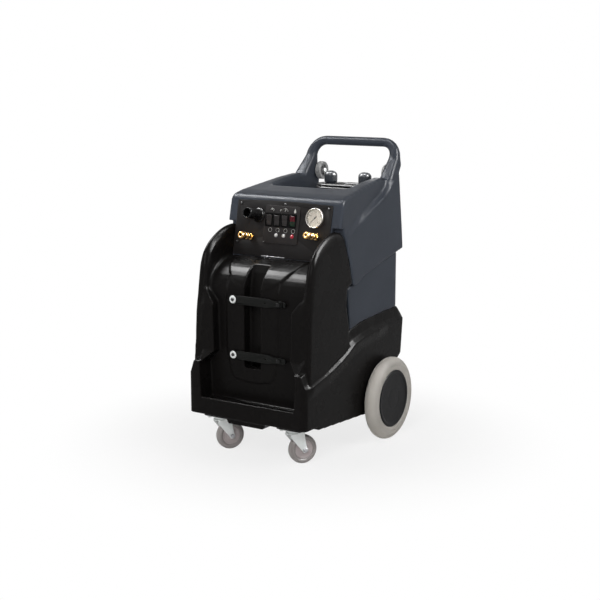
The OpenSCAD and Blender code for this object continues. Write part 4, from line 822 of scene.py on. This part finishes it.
def wingShare(at):
    # 1 along the outer edges of the wings' crests
    return (fadeBetween(abs(at.x), 0.190, 0.205) * fadeBetween(at.z, 0.50, 0.60)
            * (1 - fadeBetween(at.y, -0.16, -0.12)))


baseShell = mouldedShell("base_tank", "baseShell", "machine", 0.0030, 4, 0.24,
                         {"weight": wingShare, "rounds": 80}, ledgeRoll)
housingShell = mouldedShell("lower_housing", "housingShell", "machine", 0.0032, 4, 0.3)


def crownShare(at):
    # 1 along the tank's front crown and the rim of its valley, 0 at the panel and the handle
    return (fadeBetween(at.z, 0.884, 0.902) * (1 - fadeBetween(at.y, 0.17, 0.26))
            * (1 - fadeBetween(at.z, 0.985, 1.01)))


tankShell = mouldedShell("upper_tank", "tankShell", "machine", 0.0036, 7, 0.35,
                         {"weight": crownShare, "rounds": 60})


def eased(nodeName, width, body="machine", look=None, sharp=32):
    # a merged copy of a rigid solid with its sharp edges eased, named after the solid
    first, *rest = nodeName.split("_")
    pieceName = first + "".join(word.title() for word in rest)
    mesh = nodes[nodeName].data.copy()
    mesh.name = pieceName
    bm = bmesh.new()
    bm.from_mesh(mesh)
    bmesh.ops.remove_doubles(bm, verts=bm.verts, dist=0.00001)
    bmesh.ops.dissolve_limit(bm, angle_limit=math.radians(1.0), verts=bm.verts, edges=bm.edges)
    bmesh.ops.recalc_face_normals(bm, faces=bm.faces)
    bm.to_mesh(mesh)
    bm.free()
    piece = bpy.data.objects.new(pieceName, mesh)
    scene.collection.objects.link(piece)
    ease = piece.modifiers.new("ease", "BEVEL")
    ease.width = width
    ease.segments = 2
    ease.limit_method = "ANGLE"
    ease.angle_limit = math.radians(sharp)
    bake(piece)
    piece.data.shade_smooth()
    piece.data.set_sharp_from_angle(angle=math.radians(sharp + 6))
    piece.data.materials.clear()
    piece.data.materials.append(look or finishes[slotOf[nodeName]])
    return settle(piece, body, slotOf[nodeName], nodeName)


screwSet = {"spots": [(-184, -12), (3, -7), (184, -12), (-184, -150), (184, -150)], "head": 4.5, "high": 2.8}


def panHead(name, radius, high, look, recessLook):
    # a pan head with a driver cross
    profile = [(0, high), (radius * 0.62, high), (radius * 0.96, high * 0.55), (radius, 0), (0, 0)]
    a, b, top = radius * 0.45, radius * 0.11, high + 0.12
    cross = [(b, b), (b, a), (-b, a), (-b, b), (-a, b), (-a, -b), (-b, -b), (-b, -a), (b, -a), (b, -b), (a, -b),
             (a, b)]
    return merged(name, [lathe(name, look, profile, 24, (0.6, 3)),
                         flat(name + "Cross", recessLook, cross, top - 0.8, top, smoothAngle=0)])


head = panHead("screwHead", screwSet["head"], screwSet["high"], finishes["black_steel"], extras["darkPrint"])
screws = repeated("panelScrews", "spots", head, finishes["black_steel"], {}, panelFrame,
                  [(x / 1000, y / 1000, 0.0) for x, y in screwSet["spots"]])
settle(screws, "machine", "black_steel", "panel_screws")

# the black sheet, its plate and the sockets of the switches
eased("control_panel", 0.0005)
plateSet = {"left": -76, "right": 70, "top": -12.6, "bottom": -147, "thick": 2.5, "corner": 10,
            "switchX": (-56, -23, 10, 43), "switchY": -64, "hole": (12.3, 21.8), "lensX": (-20, 12, 47),
            "lensY": -117.5}
outline = roundedOutline(oblong(plateSet["left"], plateSet["bottom"], plateSet["right"], plateSet["top"]),
                         plateSet["corner"], 8)
plateBlank = flat("switchPlate", finishes["plate_black"], outline, 0, plateSet["thick"], 0.9, 3)
bm = bmesh.new()
for x in plateSet["switchX"]:
    w, h = plateSet["hole"]
    slab(bm, mm(oblong(x - w, plateSet["switchY"] - h, x + w, plateSet["switchY"] + h)), -0.01, 0.01)
cutter = asObject("plateCutter", bm, [finishes["plate_black"]], 0)
cut = plateBlank.modifiers.new("cut", "BOOLEAN")
cut.object = cutter
cut.solver = "EXACT"
bake(plateBlank)
bpy.data.objects.remove(cutter)
plateBlank.data.transform(panelFrame)
plateBlank.data.set_sharp_from_angle(angle=math.radians(35))
settle(plateBlank, "machine", "plate_black", "switch_plate")
eased("switch_bodies", 0.0005, look=plainPlastic("switchFrame", (0.0025, 0.0025, 0.0025), 0.5, specular=0.03))

# rockers with a soft hollow between their two ends
rockerSet = {"wide": 21, "tilt": 10, "lift": -0.5, "pin": 1.5, "pinReach": 11.8}
rockerLine = ((4, -3.4), (18, 1), (18.4, 5.4), (10, 6.2), (0, 4.4), (-10, 6.2), (-18.4, 5.4), (-18, 1),
              (-4, -3.4))
rockerLook = plainPlastic("rockerCap", (0.036, 0.033, 0.033), 0.3, specular=0.06)
# stands the profile up, with its thickness along X
standing = Matrix(((0, 0, 1, 0), (1, 0, 0, 0), (0, 1, 0, 0), (0, 0, 0, 1)))
for i, x in enumerate(plateSet["switchX"]):
    side = rockerSet["wide"] / 2
    cap = flat("rockerCap", finishes["switch_red"] if i == 3 else rockerLook, rockerLine, -side, side, 1.1, 3,
               (3.5, 4), 45, standing)
    r, reach = rockerSet["pin"], rockerSet["pinReach"]
    pin = lathe("rockerPin", finishes["black_steel"], [(0, -reach), (r, -reach), (r, reach), (0, reach)], 16,
                place=quarterTurn("Y"))
    whole = merged(f"rocker{i + 1}", [cap, pin])
    whole.data.transform(onPanel(x, plateSet["switchY"], rockerSet["lift"])
                         @ Matrix.Rotation(math.radians(rockerSet["tilt"]), 4, "X"))
    settle(whole, f"switch_{i + 1}", slotOf[f"rocker_{i + 1}"], f"rocker_{i + 1}")

# printed marks: generic signs above the rockers and dashed rings below them
markSet = {"ringY": -99.2, "ringX": (-47.5, -15.5, 17.5, 49.5), "ringRadius": 7.0, "dashes": 12, "thick": 0.12}


def printed(name, outline, look):
    return flat(name, look, outline, 0, markSet["thick"], smoothAngle=0)


def curvedBand(cx, cy, radius, wide, start, end, steps=14):
    angles = [math.radians(start + (end - start) * k / steps) for k in range(steps + 1)]
    outer = [(cx + (radius + wide / 2) * math.cos(a), cy + (radius + wide / 2) * math.sin(a)) for a in angles]
    inner = [(cx + (radius - wide / 2) * math.cos(a), cy + (radius - wide / 2) * math.sin(a)) for a in angles]
    return outer + inner[::-1]


def disc(cx, cy, radius, steps=20):
    return [(cx + radius * math.cos(2 * math.pi * k / steps), cy + radius * math.sin(2 * math.pi * k / steps))
            for k in range(steps)]


def dropShape(cx, cy, radius, high):
    points = [(cx + radius * math.cos(math.radians(a)), cy + radius * math.sin(math.radians(a)))
              for a in range(-200, 21, 15)]
    return points + [(cx, cy + high)]


# the last disc is a small light dot near the plate's lower left corner, drawn with the white print
signs = [curvedBand(-47, -31, 7.5, 1.2, 20, 160), disc(-48, -25, 3.6),
         curvedBand(-44.5, -28, 4.4, 1.6, -70, 60), disc(-12, -29, 2.2),
         curvedBand(-9.5, -31, 5.2, 1.0, 40, 150), curvedBand(3, -27.5, 5.6, 1.1, -60, 70),
         curvedBand(8, -27.5, 7.0, 1.1, 25, 150),
         curvedBand(14, -30, 5.0, 1.1, -20, 190), dropShape(49, -31, 4.4, 11.5), disc(-70, -143, 1.3)]
whitePrint = merged("signs", [printed("sign", shape, extras["whitePrint"]) for shape in signs])
whitePrint.data.transform(onPanel(0, 0, plateSet["thick"]))
parts = [whitePrint]
for x in markSet["ringX"]:
    dash = printed("dash", oblong(-0.55, -1.25, 0.55, 1.25), extras["whitePrint"])
    parts.append(ringed("dashes", dash, extras["whitePrint"], markSet["dashes"] + 1, markSet["ringRadius"],
                        onPanel(x, markSet["ringY"], plateSet["thick"])))
settle(merged("panelSigns", parts), "machine", "plate_black")

# domes of the indicator lamps, each in a thin collar
lampSetup = {"radius": 5.8, "high": 4.6, "foot": 0.9, "collar": 7.1, "overlap": 0.2}
domes = []
for i, x in enumerate(plateSet["lensX"]):
    r, foot, rim = lampSetup["radius"], lampSetup["foot"], lampSetup["collar"]
    arc = [(r * math.cos(math.radians(a)), foot + lampSetup["high"] * math.sin(math.radians(a)))
           for a in range(0, 91, 10)]
    dome = lathe("dome", finishes["lens_red" if i == 2 else "lens_white"], arc + [(0, 0)], 28)
    under = r - lampSetup["overlap"]
    collar = lathe("collar", finishes["lens_red"] if i == 2 else extras["dullClip"],
                   [(under, 0), (under, 1.1), (rim, foot), (rim, 0)], 28, (0.4, 2), closed=True)
    lampPiece = merged(f"lamp{i + 1}", [dome, collar])
    lampPiece.data.transform(onPanel(x, plateSet["lensY"], plateSet["thick"]))
    domes.append(lampPiece)
settle(domes.pop(), "machine", "lens_red", "warning_lens")
settle(merged("indicatorLamps", domes), "machine", "lens_white", "indicator_lenses")
print("panel and switches ready")

# pressure gauge
gaugeSet = {"at": (133, -47), "radius": 35, "dial": 32, "hole": 1.5, "face": 1.5, "ticks": 41, "longTicks": 9,
            "arc": 30.2, "start": -45, "sweep": 270, "numbers": (0, 200, 400, 600, 800),
            "numberAt": (21.8, 21.4), "numberSize": 5.8, "numberThick": 0.06, "needle": 225, "needleLift": 3.1}
gaugeFrame = onPanel(*gaugeSet["at"])
scaleEnd = gaugeSet["start"] + gaugeSet["sweep"]
gaugeCase = lathe("gaugeCase", finishes["gauge_metal"], (
    (32.2, 1), (32.2, 6.2), (32.6, 8.2), (33.4, 9), (34.3, 8.4), (34.8, 6), (gaugeSet["radius"], 0), (31, 0),
    (31, -29), (29, -30), (6.5, -30), (6.5, -42), (0, -42)), 72, (0.6, 3), tail=((0, 0.2), (32.2, 0.2)),
    closed=True, place=gaugeFrame)
settle(gaugeCase, "machine", "gauge_metal", "gauge_case")
hole, edge, face = gaugeSet["hole"], gaugeSet["dial"], gaugeSet["face"]
dialParts = [lathe("dialFace", finishes["dial_white"], [(hole, 0), (edge, 0), (edge, face), (hole, face)], 72,
                   closed=True, smoothAngle=30)]
for count, wide, long, at in ((gaugeSet["ticks"], 0.35, 1.8, 28.6), (gaugeSet["longTicks"], 0.7, 3.6, 27.8)):
    tick = printed("tick", oblong(-long / 2, -wide / 2, long / 2, wide / 2), extras["darkPrint"])
    dialParts.append(ringed("ticks", tick, extras["darkPrint"], count, at, shifted(0, 0, face),
                            gaugeSet["start"], gaugeSet["sweep"]))
band = curvedBand(0, 0, gaugeSet["arc"], 0.5, gaugeSet["start"], scaleEnd, 60)
dialParts.append(flat("scaleArc", extras["darkPrint"], band, face, face + markSet["thick"], smoothAngle=0))
for k, number in enumerate(gaugeSet["numbers"]):
    angle = math.radians(scaleEnd - gaugeSet["sweep"] * k / (len(gaugeSet["numbers"]) - 1))
    wordCurve = bpy.data.curves.new("number", "FONT")
    wordCurve.body = str(number)
    wordCurve.size = gaugeSet["numberSize"] / 1000
    wordCurve.align_x, wordCurve.align_y = "CENTER", "CENTER"
    wordCurve.extrude = gaugeSet["numberThick"] / 1000
    wordHolder = bpy.data.objects.new("number", wordCurve)
    scene.collection.objects.link(wordHolder)
    bpy.context.view_layer.update()
    drawn = bpy.data.meshes.new_from_object(wordHolder.evaluated_get(bpy.context.evaluated_depsgraph_get()))
    bpy.data.objects.remove(wordHolder)
    drawn.materials.clear()
    drawn.materials.append(extras["darkPrint"])
    across, up = gaugeSet["numberAt"]
    drawn.transform(shifted(across * math.cos(angle), up * math.sin(angle), face + gaugeSet["numberThick"]))
    digit = bpy.data.objects.new("number", drawn)
    scene.collection.objects.link(digit)
    dialParts.append(digit)
dial = merged("gaugeDial", dialParts)
dial.data.transform(gaugeFrame)
settle(dial, "machine", "dial_white", "gauge_dial")
bm = bmesh.new()
pointer = [(-9, -1.9), (-9.6, 0), (-9, 1.9), (-3, 1.0), (0, 1.1), (21, 0.45), (23, 0), (21, -0.45), (0, -1.1),
           (-3, -1.0)]
slab(bm, mm(pointer), 0.0, 0.0007, 0.00015, 1)
bm.transform(Matrix.Rotation(math.radians(gaugeSet["needle"]), 4, "Z"))
arbor = [(0, -10.1), (1.2, -10.1), (1.2, -0.2), (2.6, 0), (2.6, 1.2), (1.9, 1.8), (0, 1.9)]
turned(bm, softened(mm(arbor), 0.0003, 2), 24)
needle = asObject("gaugeNeedle", bm, [finishes["black_steel"]], 35,
                  gaugeFrame @ shifted(0, 0, gaugeSet["needleLift"]))
settle(needle, "needle", "black_steel", "gauge_needle")
glass = lathe("gaugeGlass", finishes["gauge_glass"], ((0, 6.2), (32.1, 6.2), (32.1, 7.1), (18, 7.6), (0, 7.8)),
              72, (0.3, 2), smoothAngle=30, place=gaugeFrame)
settle(glass, "machine", "gauge_glass", "gauge_glass")
print("gauge ready")

# hose port with its flange and screws
portSet = {"at": (-103, -51), "long": 78, "outer": 19, "bore": 15, "flange": 26, "screws": 4, "screwRing": 23.6}
bore, outer, flange, long = portSet["bore"], portSet["outer"], portSet["flange"], portSet["long"]
portBody = lathe("portBody", finishes["port_black"], (
    (bore, -27), (bore, long - 1), (15.8, long), (18.6, long), (outer, 76.6), (outer, 71), (18.5, 70.2),
    (18.5, 26), (outer, 22), (20.6, 9), (22.4, 6.2), (24.6, 5), (flange, 3.4), (flange, 0), (outer, 0),
    (outer, -33), (0, -33), (0, -27)), 64, (1.2, 3), closed=True)
pin = panHead("portScrew", 1.6, 1.1, finishes["black_steel"], extras["darkPrint"])
portScrews = ringed("portScrews", pin, finishes["black_steel"], portSet["screws"] + 1, portSet["screwRing"],
                    shifted(0, 0, 4.6), 45)
hosePort = merged("hosePort", [portBody, portScrews])
hosePort.data.transform(onPanel(*portSet["at"]))
settle(hosePort, "machine", "port_black", "vacuum_port")

# quick couplers and their sliding sleeves
couplerSet = {"left": ((-125, -130), 6), "right": ((146, -112), 4), "sleeveFrom": 44, "sleeveLong": 24,
              "knurls": 30}
for side in ("left", "right"):
    at, bore = couplerSet[side]
    there = onPanel(*at)
    stem = lathe("stem", finishes["brass"], (
        (bore, 24), (bore, 70.6), (bore + 1.6, 72), (8.9, 72), (9.5, 71.4), (9.5, 70.4), (10.6, 70.2),
        (10.6, 68.6), (9.5, 68.4), (9.5, 38), (11.5, 37.6), (11.5, 33.2), (10.8, 32.6), (10.8, 30.6),
        (11.5, 30), (11.5, 22.6), (8, 20), (8, 10), (9, 10), (9, -19), (0, -19), (0, 24)), 48, (0.4, 2),
        closed=True, smoothAngle=35)
    nut = lathe("nut", finishes["brass"], ((8.5, 0), (11.8, 0), (12.5, 0.8), (12.5, 10), (11.8, 11), (8.5, 11)),
                6, (0.2, 1), closed=True, smoothAngle=20)
    whole = merged(f"coupler{side.title()}", [stem, nut])
    whole.data.transform(there)
    settle(whole, "machine", "brass", f"coupler_{side}")
    end = couplerSet["sleeveLong"]
    collarBody = lathe("collarBody", finishes["brass"], (
        (9.8, 0), (11.6, 0), (12.3, 0.9), (12.3, 4), (11.6, 5), (11.6, 15), (12.4, 16), (12.4, 22), (11.6, end),
        (11, end), (11, 23), (9.8, 23)), 48, (0.3, 2), closed=True, smoothAngle=35)
    ridge = flat("ridge", finishes["brass"], ((-0.4, -0.45), (0.2, -0.2), (0.2, 0.2), (-0.4, 0.45)), 0, 5.8,
                 0.1, 1, smoothAngle=0)
    grip = ringed("grip", ridge, finishes["brass"], couplerSet["knurls"] + 1, 12.4, shifted(0, 0, 16.1))
    slider = merged(f"sleeve{side.title()}", [collarBody, grip])
    slider.data.transform(there @ shifted(0, 0, couplerSet["sleeveFrom"]))
    settle(slider, f"{side}_sleeve", "brass", f"coupler_{side}_sleeve")
print("port and couplers ready")

# straps, their washers and their hooks
eased("strap_upper", 0.0011)
eased("strap_lower", 0.0011)
eased("strap_hooks", 0.0008)
strapSet = {"x": -91, "face": -310, "levels": (360, 557), "washer": 13.5}
studs = []
for z in strapSet["levels"]:
    wide = strapSet["washer"]
    washer = lathe("washer", finishes["zinc_steel"], (
        (5, 17), (8, 17.3), (12.9, 16.9), (wide, 16.2), (wide, 15.3), (4, 15.3), (4, 9), (11, 8.7), (11, 3),
        (4, 3), (4, -18), (0, -18), (0, 17)), 48, (0.5, 3), closed=True, smoothAngle=35)
    socket = lathe("socket", finishes["black_steel"], (
        (0, 19.6), (2.6, 19.6), (2.6, 20.6), (4.8, 20.4), (6.4, 18.6), (6.4, 16.8), (0, 16.8)), 24, (0.4, 2))
    stud = merged("stud", [washer, socket])
    stud.data.transform(shifted(strapSet["x"], strapSet["face"], z) @ quarterTurn("X"))
    studs.append(stud)
settle(merged("strapScrews", studs), "machine", "zinc_steel", "strap_screws")

# casters
eased("caster_plates", 0.0007)
casterSet = {"axis": (155, -311.5), "turned": -30, "trail": 32, "radius": 51, "half": 16, "seat": (33, 11.8)}
for side, sign in sides.items():
    eased(f"caster_fork_{side}", 0.0009, f"caster_fork_{side}_body")
    eased(f"caster_bolts_{side}", 0.0006, f"caster_fork_{side}_body", extras["dullClip"])
    x, y = casterSet["axis"]
    own = shifted(sign * x, y, 0) @ Matrix.Rotation(math.radians(casterSet["turned"]), 4, "Z") \
        @ shifted(0, casterSet["trail"], casterSet["radius"]) @ quarterTurn("Y")
    half = [(34.5, 12.2), (35.4, 13.4), (37.5, 14.8), (40, 15.7), (43, casterSet["half"]), (45.5, 15.4),
            (47.8, 13.8), (49.6, 11), (50.7, 6), (casterSet["radius"], 0)]
    seat, reach = casterSet["seat"]
    tread = half + [(r, -h) for r, h in half[-2::-1]] + [(seat, -reach), (seat, reach)]
    tyre = lathe("treadRing", finishes["caster_rubber"], tread, 72, closed=True)
    half = [(5.3, 18.8), (9.6, 18.8), (10.4, 18.2), (12, 12.4), (16, 11.4), (26, 12), (31.2, 13.6),
            (33.2, 13.2), (33.6, 11.4)]
    hub = lathe("wheelHub", extras["casterHub"], half + [(r, -h) for r, h in half[::-1]], 72, (0.6, 2),
                closed=True)
    wheel = merged(f"casterWheel{side.title()}", [tyre, hub])
    wheel.data.transform(own)
    settle(wheel, f"caster_wheel_{side}_body", "caster_rubber", f"caster_wheel_{side}")
print("straps and casters ready")

# rear wheels
rearSet = {"inner": 249.5, "wide": 52, "axle": (140, 152.4), "radius": 152.4}
for side, sign in sides.items():
    own = shifted(sign * rearSet["inner"], *rearSet["axle"]) @ quarterTurn("Y", sign)
    wide = rearSet["wide"]
    flank = [(106.3, 5), (109, 3.2), (113, 2.2), (119, 1.4), (120.2, 2.0), (121.4, 1.4), (128, 1.1), (136, 2.6),
             (143, 6.6), (148.6, 12.6), (151.4, 19), (152.2, 25)]
    crossing = flank + [(rearSet["radius"], wide / 2)] + [(r, wide - h) for r, h in flank[::-1]]
    tyre = lathe(f"rearTyre{side.title()}", finishes["grey_tyre"], crossing, 128, closed=True, smoothAngle=50,
                 place=own)
    settle(tyre, f"rear_wheel_{side}", "grey_tyre", f"rear_tyre_{side}")
    eased(f"rear_rim_{side}", 0.0008, f"rear_wheel_{side}")
    cover = ((0, -8), (82, -10), (97, -13.6), (99.6, -14), (99.6, -7.6), (105.5, -7.6), (105.5, -4.2),
             (102.6, -2.2), (99, -2), (95.5, -2.6), (92, -3.8), (90.2, -4.9), (88.4, -4.7), (76, -5.4),
             (40, -5.7), (38.6, -6.1), (36.8, -5.7), (0, -5.6))
    cap = lathe(f"hubCap{side.title()}", finishes["hub_black"], [(r, wide + h) for r, h in cover], 128,
                (1.2, 3), smoothAngle=50, place=own)
    settle(cap, f"rear_wheel_{side}", "hub_black", f"hub_cap_{side}")
eased("axle_brackets", 0.0008)
eased("rear_axle", 0.0006)

# loading wheels
for side in sides:
    eased(f"load_tyre_{side}", 0.0005, f"loading_wheel_{side}", extras["loadTyre"])
    eased(f"load_hub_{side}", 0.0005, f"loading_wheel_{side}", extras["loadHub"])
eased("load_bolts", 0.0007)
print("wheels ready")

# horns that the cord is wound on
hornSet = {"at": (75, 298, 873), "foot": 20, "tip": 25, "high": 89, "crown": 18}
horns = []
for sign in sides.values():
    foot, tip, high, crown = hornSet["foot"], hornSet["tip"], hornSet["high"], hornSet["crown"]
    dome = [(tip * math.cos(math.radians(a)) ** 0.75, high - crown + crown * math.sin(math.radians(a)))
            for a in range(0, 90, 9)]
    x, y, z = hornSet["at"]
    horns.append(lathe("horn", extras["hornPlastic"],
                       [(0, 0), (foot, 0), (foot, 43.6), (24.4, 47.5), (tip, 52)] + dome + [(0, high)], 56,
                       (1.5, 2), place=shifted(sign * x, y, z)))
settle(merged("cordHorns", horns), "machine", "grey_plastic", "cord_hooks")

# fill cap with its grip
capSet = {"at": (0, 137, 852), "skirt": 40.4, "body": 48.4, "high": 22, "ribs": 36, "bar": (31, 6)}
skirt, body, high = capSet["skirt"], capSet["body"], capSet["high"]
capTop = lathe("capTop", finishes["port_black"], (
    (0, 3.6), (36.4, 3.6), (36.4, -9), (skirt, -9), (skirt, 0), (body, 0), (body, 17), (47.2, 20), (43, 21.6),
    (34, high), (32, 20.6), (12, 20.4), (0, 20.4)), 96, (1.4, 3))
rib = flat("rib", finishes["port_black"], ((-1.4, -1.5), (1, -1.1), (1.6, 0), (1, 1.1), (-1.4, 1.5)), 0.8, 17.6,
           0.4, 1)
ribs = ringed("capRibs", rib, finishes["port_black"], capSet["ribs"] + 1, body, shifted(0, 0, 0))
reach, side = capSet["bar"]
bridge = flat("bridge", finishes["port_black"], roundedOutline(oblong(-reach, -side, reach, side), side, 6),
              19.8, high, 0.9, 2)
lid = merged("fillCap", [capTop, ribs, bridge])
lid.data.transform(shifted(*capSet["at"]))
settle(lid, "lid", "port_black", "fill_cap")

# strain relief with rings that thin out along the cord
reliefSet = {"at": (58, 310, 392), "long": 40, "rings": 9}
line = [(0, 0), (18, 0), (18, 4.6), (16.6, 6.0), (12.6, 7.4), (11.6, 9.0)]
for k in range(reliefSet["rings"]):
    a = 10 + 27.5 * k / reliefSet["rings"]
    r = 11.2 - 4.4 * k / reliefSet["rings"]
    line += [(r, a), (r, a + 1.5), (r - 1.5, a + 1.9), (r - 1.5, a + 2.8)]
line += [(6.6, 38), (6.4, 39.6), (5.6, reliefSet["long"]), (0, reliefSet["long"])]
relief = lathe("strainRelief", finishes["port_black"], line, 40, (0.3, 2),
               place=shifted(*reliefSet["at"]) @ quarterTurn("X", -1))
settle(relief, "machine", "port_black", "strain_relief")
for nodeName in ("vacuum_motor", "pump_motor", "pump_head"):
    eased(nodeName, 0.0008)

# thin bright strip at the panel's foot, a painted highlight: a light sheet put where the panel's lower edge
# shows an edge highlight
highlightRailSet = {"left": -73.5, "right": 24.5, "half": 1.2, "high": 2.4, "y": -194.5}
highlightRail = flat("footRail", extras["dullClip"],
            oblong(highlightRailSet["left"], -highlightRailSet["half"], highlightRailSet["right"], highlightRailSet["half"]), 0,
            highlightRailSet["high"], 0.7, 2, place=onPanel(0, highlightRailSet["y"]))
settle(highlightRail, "machine", "panel_black")
